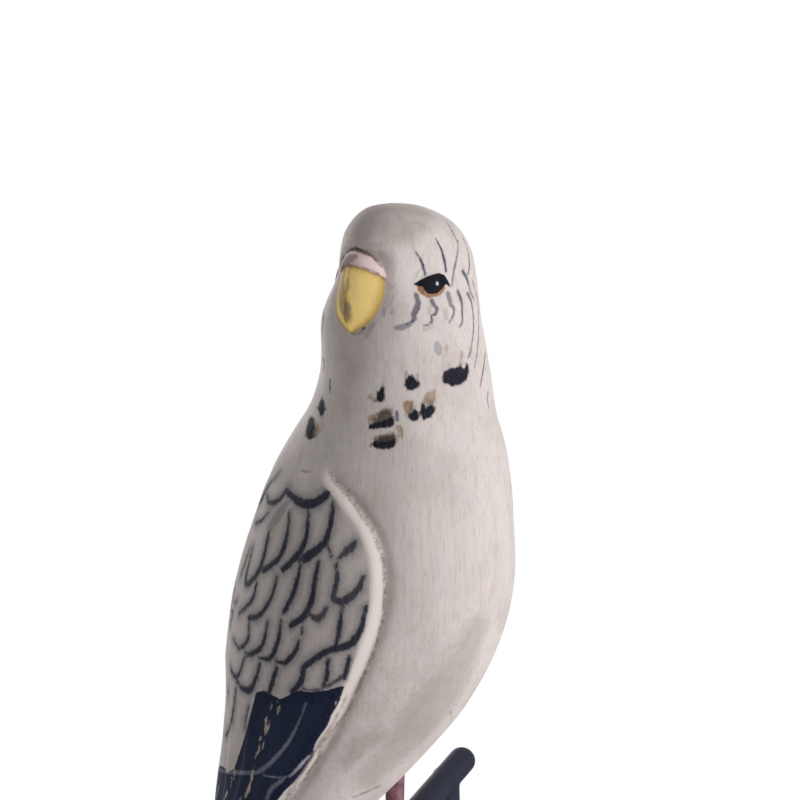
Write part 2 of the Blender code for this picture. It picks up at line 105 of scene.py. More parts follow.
def smooth(table: Sequence[Sequence[float]] | Array, place: Array) -> Array:
    """A smooth curve through a table's rows.

    Each stretch between two rows is a cubic, whose slope at a row is half the step between the row's
    neighbours.

    Args:
        table: rows of numbers.
        place: row numbers, with fractions between rows.

    Returns:
        One row for each place.
    """
    rows = np.asarray(table, float)
    slope = np.gradient(rows, axis=0)
    row = np.clip(np.floor(place).astype(int), 0, len(rows) - 2)
    s = (place - row)[:, None]
    start = (2 * s**3 - 3 * s**2 + 1) * rows[row] + (s**3 - 2 * s**2 + s) * slope[row]
    end = (3 * s**2 - 2 * s**3) * rows[row + 1] + (s**3 - s**2) * slope[row + 1]
    return start + end


def curve_at(table: Sequence[Sequence[float]], height: Array) -> Array:
    """Read a smooth table whose first column is a rising height.

    Args:
        table: rows that start with their height.
        height: the heights to read at, of any shape.

    Returns:
        The other columns, along a last axis added to the heights' shape.
    """
    rows = np.asarray(table, float)
    place = np.interp(np.ravel(height), rows[:, 0], np.arange(len(rows)))
    return smooth(rows, place)[:, 1:].reshape(*np.shape(height), -1)


def direction(turn: float | Array) -> Array:
    """The plan direction at an angle from the breast towards the bird's right."""
    angle = np.radians(turn)
    return np.stack([-np.sin(angle), -np.cos(angle)], axis=-1)


def nearest(points: Array, a: Array, b: Array) -> tuple[Array, Array]:
    """Each point's nearest place on the line from a to b, as a share of it, and how far away it is."""
    along = b - a
    share = np.clip((points - a) @ along / max(along @ along, 1e-9), 0.0, 1.0)
    return share, np.linalg.norm(points - a - share[:, None] * along, axis=1)


def coverage(points: Array, path: Array, half: Array) -> Array:
    """How far inside a brush stroke each point lies.

    For each straight piece of the path it is the piece's own half width there, less the distance to
    the piece, and the largest of these counts.

    Args:
        points: points as rows, in millimetres.
        path: the stroke's middle line as rows, in millimetres.
        half: half of the stroke's width at each of the path's points.

    Returns:
        One value for each point, above zero inside the stroke.
    """
    best = np.full(len(points), -math.inf)
    for a, b, wide_a, wide_b in zip(path, path[1:], half, half[1:]):
        share, away = nearest(points, a, b)
        best = np.maximum(best, wide_a + share * (wide_b - wide_a) - away)
    return best


def enclosed(points: Array, outline: Array) -> Array:
    """How far inside a closed outline each point of a plane lies.

    It is the distance to the outline's nearest side, above zero where a line from the point crosses
    the outline an odd number of times.

    Args:
        points: points as rows.
        outline: the outline's corners as rows.

    Returns:
        One distance for each point, above zero inside.
    """
    away = np.full(len(points), math.inf)
    odd = np.zeros(len(points), bool)
    for a, b in zip(outline, np.roll(outline, -1, axis=0)):
        away = np.minimum(away, nearest(points, a, b)[1])
        between = (a[1] > points[:, 1]) != (b[1] > points[:, 1])
        if a[1] != b[1]:
            crossing = a[0] + (points[:, 1] - a[1]) / (b[1] - a[1]) * (b[0] - a[0])
            odd ^= between & (points[:, 0] < crossing)
    return np.where(odd, away, -away)


def brush_widths(width: Sequence[float], count: int) -> Array:
    """Half widths along a stroke that is given by its width at its start, middle and end."""
    return 0.5 * np.interp(np.linspace(0.0, 2.0, count), (0.0, 1.0, 2.0), width)


def curved(path: Sequence[Sequence[float]] | Array, steps: int = 5) -> Array:
    """Points along a smooth curve through a few chosen ones."""
    count = len(path)
    return smooth(path, np.linspace(0.0, count - 1.0, (count - 1) * steps + 1))


@dataclass(frozen=True)
class PhotoCamera:
    """The photograph's camera, and where it sees each point of the figurine.

    Lengths are in millimetres and pixels are those of the photograph's 800 by 800 frame.
    """

    azimuth: float = -60.0
    elevation: float = 10.0
    distance: float = 700.0
    lens: float = 175.0
    sensor: float = 36.0
    frame: float = 800.0
    aside: float = 5.4
    height: float = 160.0

    def axes(self) -> tuple[Array, Array, Array]:
        """The camera's right, up and back directions."""
        turn, rise = math.radians(self.azimuth), math.radians(self.elevation)
        flat = np.array([math.sin(turn), -math.cos(turn), 0.0])
        back = flat * math.cos(rise) + np.array([0.0, 0.0, math.sin(rise)])
        right = np.array([math.cos(turn), math.sin(turn), 0.0])
        return right, np.cross(back, right), back

    def eye(self) -> Array:
        """The camera's place."""
        right, _, back = self.axes()
        return right * self.aside + np.array([0.0, 0.0, self.height]) + back * self.distance

    def project(self, points: Array) -> Array:
        """Find the pixels at which points are seen.

        Args:
            points: points along the last axis, in millimetres.

        Returns:
            Pixel x and y along the last axis.
        """
        right, up, back = self.axes()
        view = points - self.eye()
        scale = self.lens / self.sensor * self.frame / -(view @ back)
        middle = self.frame / 2.0
        return np.stack([middle + view @ right * scale, middle - view @ up * scale], axis=-1)

    def place(self) -> None:
        """Add the camera to the scene and make it the scene's own."""
        lens = bpy.data.cameras.new("photo_camera")
        lens.lens = self.lens
        lens.sensor_width = self.sensor
        lens.clip_start = 0.01
        camera = bpy.data.objects.new("photo_camera", lens)
        turn = Matrix(self.axes()).transposed().to_4x4()
        camera.matrix_world = Matrix.Translation(Vector(self.eye() * MM)) @ turn
        bpy.context.scene.collection.objects.link(camera)
        bpy.context.scene.camera = camera


class Copy(Enum):
    """Where a mark is painted besides the side that the photograph shows."""

    NONE = "only where the photograph shows it"
    WINGS = "on the other wing too"
    FACE = "on the other side of the head too"


class Tint(Enum):
    """The kinds of brush mark. Each value is the name of the mesh attribute that holds it."""

    SLATE = "slate"
    SPOT = "spot"
    TAN = "tan"
    FROST = "frost"
    WAX_AND_SHADE = "wax_and_shade"
    # brown wax, and painted shade over the cere and under the beak's tip
    SMEAR = "smear"
    LINE = "line"
    FLECK = "fleck"
    PINK = "pink"
    UMBER = "umber"
    # soiled paint, and painted shade above the cere and beside the wing's edge
    SOIL_AND_SHADE = "soil_and_shade"
    RIM = "rim"
    # painted shade on the beak's far side
    PAINTED_BEAK_SHADE = "painted_beak_shade"


@dataclass(frozen=True)
class Stroke:
    """One brush stroke, by a few pixels along its middle line in the photograph's frame.

    Its width is in millimetres at its start, middle and end. Its load is how full the brush was.
    """

    path: Curve
    width: tuple[float, ...]
    load: float
    copy: Copy


@dataclass(frozen=True)
class Patch:
    """One painted shape, by the corners of its outline in the photograph's frame."""

    outline: Curve
    load: float
    copy: Copy


def strokes(*rows: Sequence[float], copy: Copy = Copy.WINGS) -> tuple[Stroke, ...]:
    """Make strokes, each from its load, its three widths, and the x and y of its pixels in turn."""
    return tuple(Stroke(tuple(zip(row[4::2], row[5::2])), row[1:4], row[0], copy) for row in rows)


def patches(*rows: Sequence[float], copy: Copy = Copy.NONE) -> tuple[Patch, ...]:
    """Make patches, each from its load, and the x and y of its corners in turn."""
    return tuple(Patch(tuple(zip(row[1::2], row[2::2])), row[0], copy) for row in rows)


def wing_strokes() -> tuple[Stroke, ...]:
    """The slate strokes that outline the wing's small feathers, from the shoulder down."""
    return strokes(
        (0.45, 0.94, 1.42, 0.71, 272, 481, 276, 477, 280, 471),
        (1, 0.94, 1.77, 1.42, 288, 492, 296, 500, 306, 504, 317, 502, 327, 494),
        (1, 0.59, 1.06, 0.59, 267, 494, 268, 501, 273, 503, 280, 499, 288, 488),
        (0.3, 1.42, 2.36, 1.65, 287, 503, 278, 515, 269, 530),
        (1, 0.83, 0.71, 0.47, 256, 523, 261, 521, 268, 513),
        (1, 0.83, 1.3, 0.47, 269, 529, 267, 542, 261, 566, 253, 579, 247, 584, 246, 577, 249, 563, 253,
         546),
        (1, 0.47, 1.18, 1.06, 289, 512, 288, 529, 284, 547, 277, 560, 263, 571),
        (1, 0.47, 1.18, 1.3, 308, 509, 308, 521, 306, 538, 300, 552, 290, 563, 283, 569),
        (1, 0.71, 1.18, 1.89, 333, 503, 332, 516, 328, 534, 324, 543, 313, 553, 305, 558),
        (0.85, 0.59, 0.71, 0.59, 326, 541, 329, 550, 332, 558),
        (0.85, 0.83, 1.53, 0.59, 356, 542, 349, 549, 339, 558),
        (0.9, 0.5, 0.8, 0.5, 237, 600, 233, 612, 230, 627),
        (0.8, 0.5, 0.8, 0.4, 240, 578, 245, 563, 250, 548),
        (1, 0.59, 0.94, 0.71, 257, 582, 252, 600, 239, 614),
        (1, 0.59, 0.94, 1.18, 277, 576, 272, 596, 260, 615, 249, 618),
        (1, 0.59, 1.06, 0.94, 300, 560, 298, 577, 292, 597, 284, 612),
        (1, 0.59, 1.18, 1.18, 319, 561, 315, 579, 312, 599, 304, 616, 291, 625),
        (0.85, 0.83, 1.3, 0.71, 327, 608, 318, 619, 309, 614),
        (0.9, 0.59, 1.06, 0.94, 336, 562, 337, 579, 333, 598),
        (0.9, 0.71, 1.53, 1.3, 363, 577, 359, 588, 350, 597, 342, 602, 335, 600),
        (1, 0.47, 0.94, 0.59, 233, 639, 240, 648, 248, 639, 249, 624),
        (1, 0.47, 1.06, 0.59, 245, 651, 249, 655, 262, 646, 268, 622),
        (1, 0.59, 1.06, 0.59, 259, 658, 270, 658, 278, 641, 281, 621),
        (1, 0.59, 1.06, 0.47, 276, 660, 284, 663, 295, 652, 299, 640),
        (0.8, 0.71, 0.83, 0.59, 302, 627, 302, 635),
        (1, 1.06, 1.42, 0.71, 305, 666, 326, 652, 347, 646, 356, 638, 362, 626, 366, 607),
        (1, 0.59, 0.94, 0.71, 342, 608, 339, 631, 336, 646),
        (1, 0.71, 1.06, 0.47, 230.5, 667, 232.5, 673, 236, 677, 240, 672, 245, 656),
        (1, 0.71, 1.42, 0.59, 236, 680, 241, 687, 246, 690, 251, 689, 256, 678, 260, 663),
        (1, 0.71, 1.06, 0.94, 277, 667, 274, 677, 272, 684, 269, 692),
        (1, 0.94, 1.18, 0.94, 304, 666, 302, 679, 298, 686, 292, 692),
        (0.8, 0.47, 0.71, 0.71, 301, 688, 310, 691, 318, 690, 327, 686, 338, 680, 345, 674),
        (1, 0.71, 0.94, 0.83, 328, 660, 327, 673, 324, 686),
        (1, 0.59, 0.94, 0.83, 349, 656, 347, 668, 344, 678),
        (1, 0.47, 0.65, 0.47, 236, 688, 234.5, 701, 232.5, 715, 230, 727, 226, 736),
        (0.6, 0.59, 0.71, 0.47, 228.5, 686, 228, 700),
        (0.9, 0.35, 0.53, 0.35, 249, 706, 246, 718, 245, 730),
    )


def head_strokes() -> tuple[Stroke, ...]:
    """The thin grey lines of the head: above and behind the eye, and the squiggles on the cheek."""
    return (
        strokes(
            (1, 0.25, 0.6, 0.4, 416, 252, 420, 259, 423, 266, 425, 275),
            (1, 0.3, 0.6, 0.55, 436, 239, 441, 249, 443.5, 257, 445, 264, 446, 271),
            (0.78, 0.3, 0.5, 0.3, 458, 240, 457.5, 253, 455, 265, 453, 276, 452, 286),
            (0.72, 0.3, 0.45, 0.3, 447, 223, 452, 231, 457, 241),
            (0.85, 0.3, 0.45, 0.35, 463, 238, 467, 248, 469, 258, 469.5, 266, 468, 274),
            (0.86, 0.9, 0.5, 0.4, 463, 272, 467, 279, 469, 286, 471, 293, 474, 299),
            (0.81, 0.8, 0.5, 0.3, 468, 294, 471, 301, 473, 312, 473.5, 330, 470, 356),
            (0.78, 0.4, 0.45, 0.3, 472, 279, 476.5, 296, 478.5, 312, 478, 344, 474.5, 368),
            (0.85, 0.4, 0.5, 0.35, 485.5, 352, 483, 371, 480, 387),
            (0.65, 0.4, 0.5, 0.35, 488, 392, 487.5, 401, 489, 408),
            (0.86, 0.9, 0.6, 0.4, 458, 292, 460, 297, 462, 305, 462, 314, 462.5, 321, 459.5, 327),
            (0.65, 1, 1.1, 0.9, 448, 294, 449.5, 299, 450.5, 305),
            (0.81, 0.8, 0.45, 0.35, 450.5, 304, 454, 309, 453, 316, 449, 323),
            (0.18, 1.1, 1.2, 0.8, 446, 311, 446, 318),
            (0.81, 0.9, 0.8, 0.5, 432, 301, 434, 305, 437, 309, 435.5, 314),
            (0.91, 0.5, 0.45, 0.3, 435.5, 314, 431.5, 316, 432, 321, 429, 324, 424, 326),
            (0.2, 0.8, 1.1, 0.6, 431, 306, 429, 313),
            (0.22, 0.9, 1, 0.6, 432, 326, 424, 330),
            (0.81, 0.9, 1.1, 0.8, 416, 295, 418, 301, 417, 307, 413.5, 314, 414.5, 319),
            (0.86, 0.7, 0.6, 0.5, 414.5, 317, 411, 322.5, 405, 325),
            (0.59, 0.7, 1.1, 0.9, 411, 324, 403, 327, 396, 328),
            (1, 0.3, 0.4, 0.4, 418, 297, 420, 303, 418.5, 309, 415, 315, 415.5, 320),
            (1, 0.4, 0.45, 0.3, 415, 319, 411, 323.5, 406, 325.5),
            (1, 0.5, 0.6, 0.4, 448, 296, 449, 301),
            (1, 0.4, 0.5, 0.3, 437, 307, 437.5, 311),
            (0.38, 1.1, 1.7, 1, 437, 344, 439, 353),
            (0.78, 0.3, 0.4, 0.3, 472, 347, 468, 358),
            copy=Copy.FACE,
        )
        + strokes(
            (0.9, 0.4, 0.55, 0.4, 342.8, 255, 342.6, 262, 342, 269),
            (0.76, 0.5, 0.7, 0.5, 324, 306, 323, 320, 322, 336),
            (1, 0.4, 0.55, 0.4, 396.4, 411, 397.5, 421),
            copy=Copy.NONE,
        )
    )


def spot_patches() -> tuple[Patch, ...]:
    """The black lower parts of the throat spots, dabbed with a flat brush."""
    return (
        patches(
            (1, 442.4, 377, 443.5, 371, 449, 368.5, 455, 367.5, 459.6, 364, 464, 369, 466.5, 362.5, 469,
             366.5, 469.3, 373.5, 466.5, 380, 460.5, 384.8, 451.5, 386.5, 448, 384, 443, 384),
            copy=Copy.FACE,
        )
        + patches(
            (1, 404.5, 380, 407, 376.5, 411, 374.5, 415, 378, 417, 381, 420.5, 383.5, 419.5, 387, 415,
             389.5, 411.5, 391, 407, 390.5, 405, 386),
            (1, 382, 386, 384.5, 388, 384.5, 401, 380.5, 402.5, 373, 401.5, 376.3, 397.5, 377, 392),
            (1, 406, 417, 410, 413.5, 413, 409, 418, 411, 419.5, 418, 418, 421.5, 412.5, 421.5),
            (1, 420.5, 409, 421.7, 402, 424, 402, 426.3, 407.5, 431, 405, 436, 405, 435.5, 411.5, 431,
             417, 423.4, 420.4, 420.5, 415),
            (1, 368.5, 423.5, 374, 423, 385, 420, 393.5, 416, 395.3, 425, 386, 428.5, 369, 429),
            (1, 370, 444.5, 374.6, 440, 380.5, 442, 392, 440.5, 397.6, 440, 395.5, 445.5, 389.5, 449,
             382.7, 450.2, 376, 448),
            (1, 322, 396, 326.4, 409, 321.2, 418.2, 317.2, 408),
            (1, 311, 415.8, 314.3, 419.2, 315, 428.4, 313.8, 437.6, 310.3, 440, 305.2, 437.6, 305.7,
             429.5, 308, 420.4),
        )
    )


def umber_patches() -> tuple[Patch, ...]:
    """The brown upper parts of the two lowest throat spots, which run into the black below."""
    return patches(
        (0.88, 372, 421, 378, 415, 383, 409.5, 391.5, 409.5, 394, 419, 385, 424, 373, 426),
        (0.97, 374, 442, 380.5, 435.5, 393.5, 433, 397.5, 441, 388, 446, 376, 446),
        (0.5, 409, 412, 413, 404, 416, 411, 413, 418),
        (0.4, 423, 404, 427, 399, 433, 400, 435, 406, 428, 412),
        (0.6, 313, 424, 317, 427, 317, 433, 314, 438),
        (0.55, 321, 401, 324.5, 408, 322, 414, 320, 408),
    )


def spot_and_shade_strokes() -> tuple[Stroke, ...]:
    """The smallest black dabs: left of the beak, painted shade under its tip, and streaks above the spots.
    """
    return strokes(
        (1, 0.35, 0.55, 0.3, 323.6, 358.5, 324, 365, 323.5, 372),
        (1, 0.4, 0.55, 0.35, 329.8, 380, 330, 386, 329.8, 392),
        # painted shade under the beak's tip
        (1, 0.3, 0.6, 0.3, 361, 330, 363, 329, 366, 327.5),
        (0.5, 0.3, 0.5, 0.5, 406, 371, 406, 377),
        (0.6, 0.25, 0.4, 0.4, 417.5, 373, 418, 382),
        (0.7, 0.25, 0.4, 0.4, 383, 382, 383, 388),
        (0.8, 0.3, 0.4, 0.4, 369.5, 446, 374, 443),
        copy=Copy.NONE,
    )


def tan_strokes() -> tuple[Stroke, ...]:
    """The tan and brown tops of the throat spots."""
    return (
        strokes(
            (0.55, 0.4, 0.6, 0.5, 461.5, 352, 461, 364),
            (0.4, 0.5, 0.7, 0.4, 446.5, 346, 446.5, 353),
            (0.3, 0.4, 0.8, 0.8, 449, 364, 450, 369),
            copy=Copy.FACE,
        )
        + strokes(
            (0.85, 0.8, 0.9, 0.6, 371, 397.5, 373.5, 397.8),
            (0.5, 1, 1.1, 0.8, 385, 411, 391, 409),
            (0.75, 0.6, 0.9, 0.5, 398, 427, 401, 431, 401, 437),
            (0.55, 0.9, 1.4, 0.8, 314.5, 424, 317.5, 430, 316, 436),
            (0.3, 0.7, 0.6, 0.4, 318, 428, 323, 428),
            (0.35, 0.5, 0.9, 0.5, 321.5, 403, 323, 409),
            copy=Copy.NONE,
        )
    )


def tan_patches() -> tuple[Patch, ...]:
    """The tan tops of the larger throat spots."""
    return patches(
        (0.85, 403.3, 399.7, 413.6, 400.8, 413, 408, 408.5, 416.5, 405, 415, 403.9, 408.9),
        (0.7, 422.5, 398.5, 427.4, 392.8, 433.2, 389.4, 436, 390.5, 436, 404, 431, 404.5, 426.3, 405.5,
         424, 402),
        (0.75, 367, 416.5, 373, 415, 381, 410.5, 382, 414, 374, 419.5, 369, 423),
        (0.8, 371, 437, 375, 437, 380, 434, 380, 437, 374, 440.5),
    )


def fleck_strokes() -> tuple[Stroke, ...]:
    """Scratches of bare wood, where the dark paint of the long feathers has worn off.

    A scratch's row is the x and y of its two ends, and its width in the middle.
    """
    scratches = (
        (272.1, 702.1, 270.4, 710.2, 0.5), (276.6, 699.5, 277.5, 705.7, 0.35),
        (277.5, 708.4, 277.1, 715.5, 0.35), (280.2, 705.7, 278.8, 712, 0.2),
        (266.8, 713.8, 267.7, 718.2, 0.3), (265.9, 719.1, 265, 734.3, 0.7),
        (269.5, 720, 267.7, 731.6, 0.35), (261.4, 735.2, 258.8, 741.4, 0.45),
        (263.7, 739.6, 262.3, 749.5, 0.35), (259.6, 745, 257, 754.8, 0.45),
        (256.1, 752.1, 254.3, 759.3, 0.35), (254.3, 764.6, 253.4, 769.1, 0.3),
        (252.1, 770.9, 250.7, 782.5, 0.65), (249.8, 784.3, 246.3, 795, 0.8),
        (245.8, 792.3, 244.5, 798.6, 0.5), (234.2, 763.8, 233.3, 780.7, 0.45),
        (231.1, 775.4, 230.6, 787.9, 0.35), (227.5, 790.5, 225.3, 797.7, 0.5),
        (336.4, 700.4, 334.6, 707.5, 0.45), (321.3, 723.6, 319, 728, 0.15),
    )
    rows = (
        (1, 0.6 * wide, wide, 0.5 * wide, x, y, (x + to_x) / 2 + 0.5, (y + to_y) / 2, to_x, to_y)
        for x, y, to_x, to_y, wide in scratches
    )
    return strokes(*rows)


def frost_strokes() -> tuple[Stroke, ...]:
    """The pale edges of the long wing feathers."""
    return strokes(
        (0.4, 0.2, 0.45, 0.8, 306.5, 702, 302.5, 713, 298, 723.5, 292, 736, 284.6, 747, 276.6, 756.6,
         268.6, 764.6),
        (0.34, 0.8, 0.9, 0.7, 268.6, 764.6, 263, 769, 257.5, 772.5),
        (0.95, 0.4, 0.65, 0.3, 309.6, 755.7, 304.3, 761, 298, 768.2, 291, 775.4),
        (0.6, 0.35, 0.3, 0.25, 291, 775.8, 282, 777.2, 272, 776.8, 263, 775.8),
        (0.38, 0.6, 0.8, 0.6, 220, 770, 228, 772, 236, 772.5, 245, 772.5, 251, 773, 257, 772.5),
        (0.32, 0.6, 0.8, 0.7, 284, 778, 279, 783, 273, 787, 269.5, 792, 267, 800),
        (0.5, 0.45, 0.65, 0.4, 255, 693, 251, 706, 247.5, 720, 245.5, 731),
    )


def wax_and_shade_strokes() -> tuple[Stroke, ...]:
    """Brown wax in cuts, on the cere, by the beak and shoulder; painted shade over the cere, under the beak
    tip.
    """
    return (
        strokes(
            # brown wax over the cere, drawn thick to add painted shadow under the forehead's edge
            (0.95, 0.5, 0.95, 0.5, 347, 253, 352, 249.5, 357, 249, 365, 253, 374, 257.5, 381, 266.5),
            (0.75, 0.5, 0.7, 0.4, 347, 265.5, 353, 266),
            (0.7, 0.35, 0.28, 0.3, 352, 266, 364, 268.4, 373.5, 271, 380, 275.5, 385, 280),
            # painted shade under and beside the beak's tip, these two strokes
            (0.35, 0.5, 1.1, 0.7, 374, 322, 370, 329, 366, 337),
            (0.5, 0.4, 0.45, 0.3, 352, 334, 359, 333.5, 366, 331),
            (0.2, 0.4, 0.6, 0.4, 394, 296, 390, 304, 385, 310),
            (0.5, 0.4, 0.6, 0.4, 384, 309, 384, 315),
            (0.45, 0.4, 0.6, 0.4, 392, 309, 392, 314),
            (0.7, 0.4, 0.5, 0.3, 450, 711, 452, 719),
            copy=Copy.NONE,
        )
        + strokes(
            (0.7, 0.3, 0.5, 0.4, 300, 468, 303, 471, 312, 472),
            (0.6, 0.3, 0.35, 0.3, 296, 477, 297, 479),
            (0.6, 0.3, 0.35, 0.3, 303, 476, 303, 478),
            (0.6, 0.3, 0.45, 0.3, 349, 489, 350, 491),
            (0.6, 0.5, 0.9, 0.6, 382, 785, 371, 790, 354, 797),
            (0.35, 0.3, 0.7, 0.5, 341, 715, 329, 731, 319, 745, 309, 762, 299, 780, 287, 796),
            (0.5, 0.3, 0.8, 0.3, 330, 730, 325, 737, 321, 744),
            (0.5, 0.3, 0.6, 0.3, 316, 751, 310, 761, 305, 771),
        )
    )


def soil_and_shade_strokes() -> tuple[Stroke, ...]:
    """Soiled crown, painted shade over the cere and by the wing's edge, darker belly and beak sides."""
    return (
        # soiled paint on the crown, and painted shade on the forehead just above the cere
        strokes(
            (0.66, 3, 8, 3, 358, 230, 374, 221, 398, 214, 424, 213),
            (0.66, 4, 6, 3, 384, 230, 402, 227, 420, 224),
            (0.66, 0.1, 0.6, 0.2, 372, 246, 392, 240, 404, 232),
            (0.66, 1, 2.2, 1.5, 372, 252, 381, 258, 384, 268),
            copy=Copy.FACE,
        )
        # darker on the lower belly, under the beak and beside it
        + strokes(
            (0.62, 6, 11, 7, 476, 630, 452, 680, 415, 730, 372, 775),
            (0.75, 2, 4.5, 3, 396, 738, 368, 741, 346, 762),
            (0.3, 2, 4, 2, 341, 345, 352, 372, 362, 352),
            (0.3, 2, 3, 2, 388, 300, 396, 312, 388, 326),
            copy=Copy.NONE,
        )
        # painted shade along the outside of the wing's raised edge, with brown dirt in it
        + strokes(
            (0.5, 1.2, 3.2, 2.4, 387, 560, 388, 610, 374, 662, 346, 718, 310, 775),
            (0.5, 0.8, 1.8, 1, 352, 494, 366, 511, 378, 540),
        )
    )


def rim_strokes() -> tuple[Stroke, ...]:
    """Where the wing's pale rim starts on the shoulder, with a nick above it."""
    return strokes(
        (1, 0.3, 0.7, 1.4, 305, 475, 314, 474, 323, 478, 331, 486, 340, 497),
        (1, 0.4, 0.6, 0.5, 325, 468, 325, 477),
    )


def smear_strokes() -> tuple[Stroke, ...]:
    """Grey rubbed places on the beak, the mauve patch over the nostril, and a darker lower wing rim."""
    return (
        strokes(
            (0.6, 0.3, 0.9, 0.5, 346.5, 279, 348, 285, 346, 293),
            (0.75, 0.4, 1.5, 0.5, 345, 300, 347, 307, 348.5, 316),
            (0.85, 2, 2.5, 1.4, 341, 264, 346, 259.5, 354, 257.5),
            copy=Copy.NONE,
        )
        # a darker mauve-grey along the lower part of the wing's rim
        + strokes(
            (0.7, 0.5, 0.9, 0.6, 347, 694, 343, 704, 338, 714, 331, 726, 322, 739, 313, 754, 305, 768,
             286, 795),
        )
    )


def painted_beak_shade_strokes() -> tuple[Stroke, ...]:
    """Painted shade on the beak's far side, up to its ridge, in a dull yellow-brown."""
    return strokes(
        (0.85, 2.6, 4.8, 1.8, 344, 272, 341.5, 282, 341, 294, 342.5, 306, 346, 318),
        copy=Copy.NONE,
    )


def pink_strokes() -> tuple[Stroke, ...]:
    """The pink of the cere, drawn out over the face beside it."""
    return strokes(
        (0.55, 0.5, 0.9, 0.6, 384, 273, 387, 281, 389, 288),
        (0.6, 0.6, 0.7, 0.3, 386, 287, 391, 286.5, 396, 284),
        copy=Copy.NONE,
    )


@dataclass
class CarvedBlock:
    """The wooden bird: one block lofted from horizontal sections, with all carving as relief.

    Lengths are in millimetres, heights are above the tail tip, and angles are in degrees from the
    breast towards the bird's right. A section's row is its height, half width across, half depth
    along, centre x, centre y and turn. The wing's edge and the night-blue feathers' upper edges are
    rows of height and angle, or of angle and height. A rim's row is its height and how far its two
    sides lie inside the wing's edge. A level of the beak or the cere is its depth below the crown,
    its rise over the face and its half width.
    """

    tail_tip: float
    sections: Curve = (
        (0, 0, 0, 0, 38.6, 0), (0.9, 3.6, 1.5, 0, 38.4, 0), (4, 5.4, 2.1, 0, 37.8, 0),
        (13, 6.8, 2.5, 0, 36.3, 0), (23, 7.6, 2.8, 0, 34.7, 0), (33, 8.1, 3.2, 0, 32.9, 0),
        (43, 8.6, 4.4, 0, 30.4, 0), (52, 9.4, 6.6, 0, 26.8, 0), (60, 10.4, 9.4, 0, 22.4, 0),
        (67.5, 12, 13.6, 0, 17.6, 0), (75, 13.8, 17, 0, 13.2, 0), (83, 16.2, 19.9, 0, 8.9, 0),
        (91, 18.6, 22.5, 0, 5.2, 0), (100, 20.2, 25, 0, 2.3, 0), (109, 21, 26.2, 0, 0.2, 0),
        (118, 20.8, 25.7, 0, -1.6, 0), (127, 19.8, 24.1, 0, -3.4, 0), (135, 18.8, 21.8, 0, -4.6, 0),
        (142, 17.6, 19, 0, -5.9, 0), (149, 16.1, 16.4, 0, -7, 50), (156, 14.7, 15.3, 0, -7.2, 100),
        (163, 13.6, 14.6, 0, -7, 100), (170, 11.9, 13.4, 0, -7.2, 100),
        (175, 10.7, 12.6, -0.2, -7.2, 100), (179.4, 8.5, 10.4, -1.4, -7.1, 100),
        (182.5, 4.7, 5.9, -3.2, -6.9, 100), (183.6, 0, 0, -4.4, -6.8, 100),
    )
    rows: tuple[int, ...] = (
        3, 3, 5, 5, 5, 5, 6, 8, 9, 10, 12, 13, 14, 15, 15, 15, 15, 14, 13, 13, 16, 22, 26, 22, 14, 10,
    )
    wing_edge: Curve = (
        (0, 118), (30, 128), (46, 142), (52, 128), (60, 106), (68, 91), (75.5, 81.5), (86, 75.5),
        (98, 71), (108, 67), (115, 66), (122, 68.5), (128, 75.5), (133, 87), (137, 100), (142, 102),
        (190, 100),
    )
    rim_edges: Curve = (
        (0, -0.45, -0.8), (45, -0.45, -0.9), (70, -0.45, -1.1), (76.7, -0.25, -1.15), (79, -0.85, -1.5),
        (81.5, -1, -1.5), (84.6, -1, -1.5), (87, -0.3, -0.95), (89.7, -0.35, -1.3), (91.8, -0.6, -1.75),
        (94, -0.55, -2.2), (97, -0.65, -2.2), (99, -0.35, -2.2), (106, 0.1, -2.1), (112, 0.3, -1.9),
        (120, 0.4, -1.45), (129, 0.4, -1.25), (139, 0.3, -1.2), (190, 0.3, -1.2),
    )
    night_top: Curve = (
        (60, 99.6), (70, 99.4), (77, 98.2), (82, 97.6), (88, 97.7), (92, 96.6), (96, 95.4), (101, 95.9),
        (106, 96.3), (111, 95.6), (180, 94),
    )
    night_middle: Curve = ((76, 80.8), (99.5, 79.8), (136, 76.8), (180, 75))
    night_reach: Curve = ((76, 11.2), (95.5, 14.6))
    beak: Curve = (
        (22.3, 0.4, 0), (21.5, 1.3, 1.4), (19.9, 2.2, 3), (18.3, 2.7, 4.1), (16.6, 3, 4.8),
        (13.9, 3.1, 5.4), (12, 2.9, 5.4), (9.8, 2.3, 5.1),
    )
    cere: Curve = ((10.2, 1.9, 5.3), (9.7, 2.3, 5.3), (9, 2.1, 4.9), (8.3, 1.5, 4.2), (7.7, 0.4, 3.3))
    shoulder: float = 138.0
    wing_tip: float = 45.0
    wing_relief: float = 1.7
    edge_bevel: float = 2.1
    edge_groove: float = 0.5
    back_gap_high: float = 34.0
    back_gap_low: float = 9.0
    back_relief: float = 0.7
    wing_fall: float = 26.0
    ledges: float = 5.0
    ledge_rise: float = 0.22
    head_turn: float = 100.0
    beak_groove: float = 0.35
    beak_ridge: float = 0.9
    cere_ridge: float = 0.1
    lobe_droop: float = 0.07
    brow_depth: float = 5.6
    brow_rise: float = 0.3
    eye_angle: float = 66.5
    eye_depth: float = 13.7
    eye_radius: float = 2.4
    eye_rise: float = 0.7
    socket_radius: float = 4.6
    socket_depth: float = 0.8
    lid_rise: float = 0.22
    cheek_depth: float = 21.1
    cheek_angle: float = 48.0
    cheek_rise: float = 0.5
    right_thigh: tuple[float, float, float] = (72.0, 52.0, 2.4)
    left_thigh: tuple[float, float, float] = (80.0, -52.0, 0.9)
    thigh_height: float = 9.0
    thigh_width: float = 24.0
    facets: tuple[float, int, float, int] = (9.0, 14, 0.4, 7)
    knife_cuts: tuple[float, int, float, int] = (13.0, 34, 0.09, 8)
    close_from: float = -35.0
    close_to: float = 160.0
    close_columns: int = 200
    far_columns: int = 120
    marks: dict[str, Array] = field(default_factory=dict)

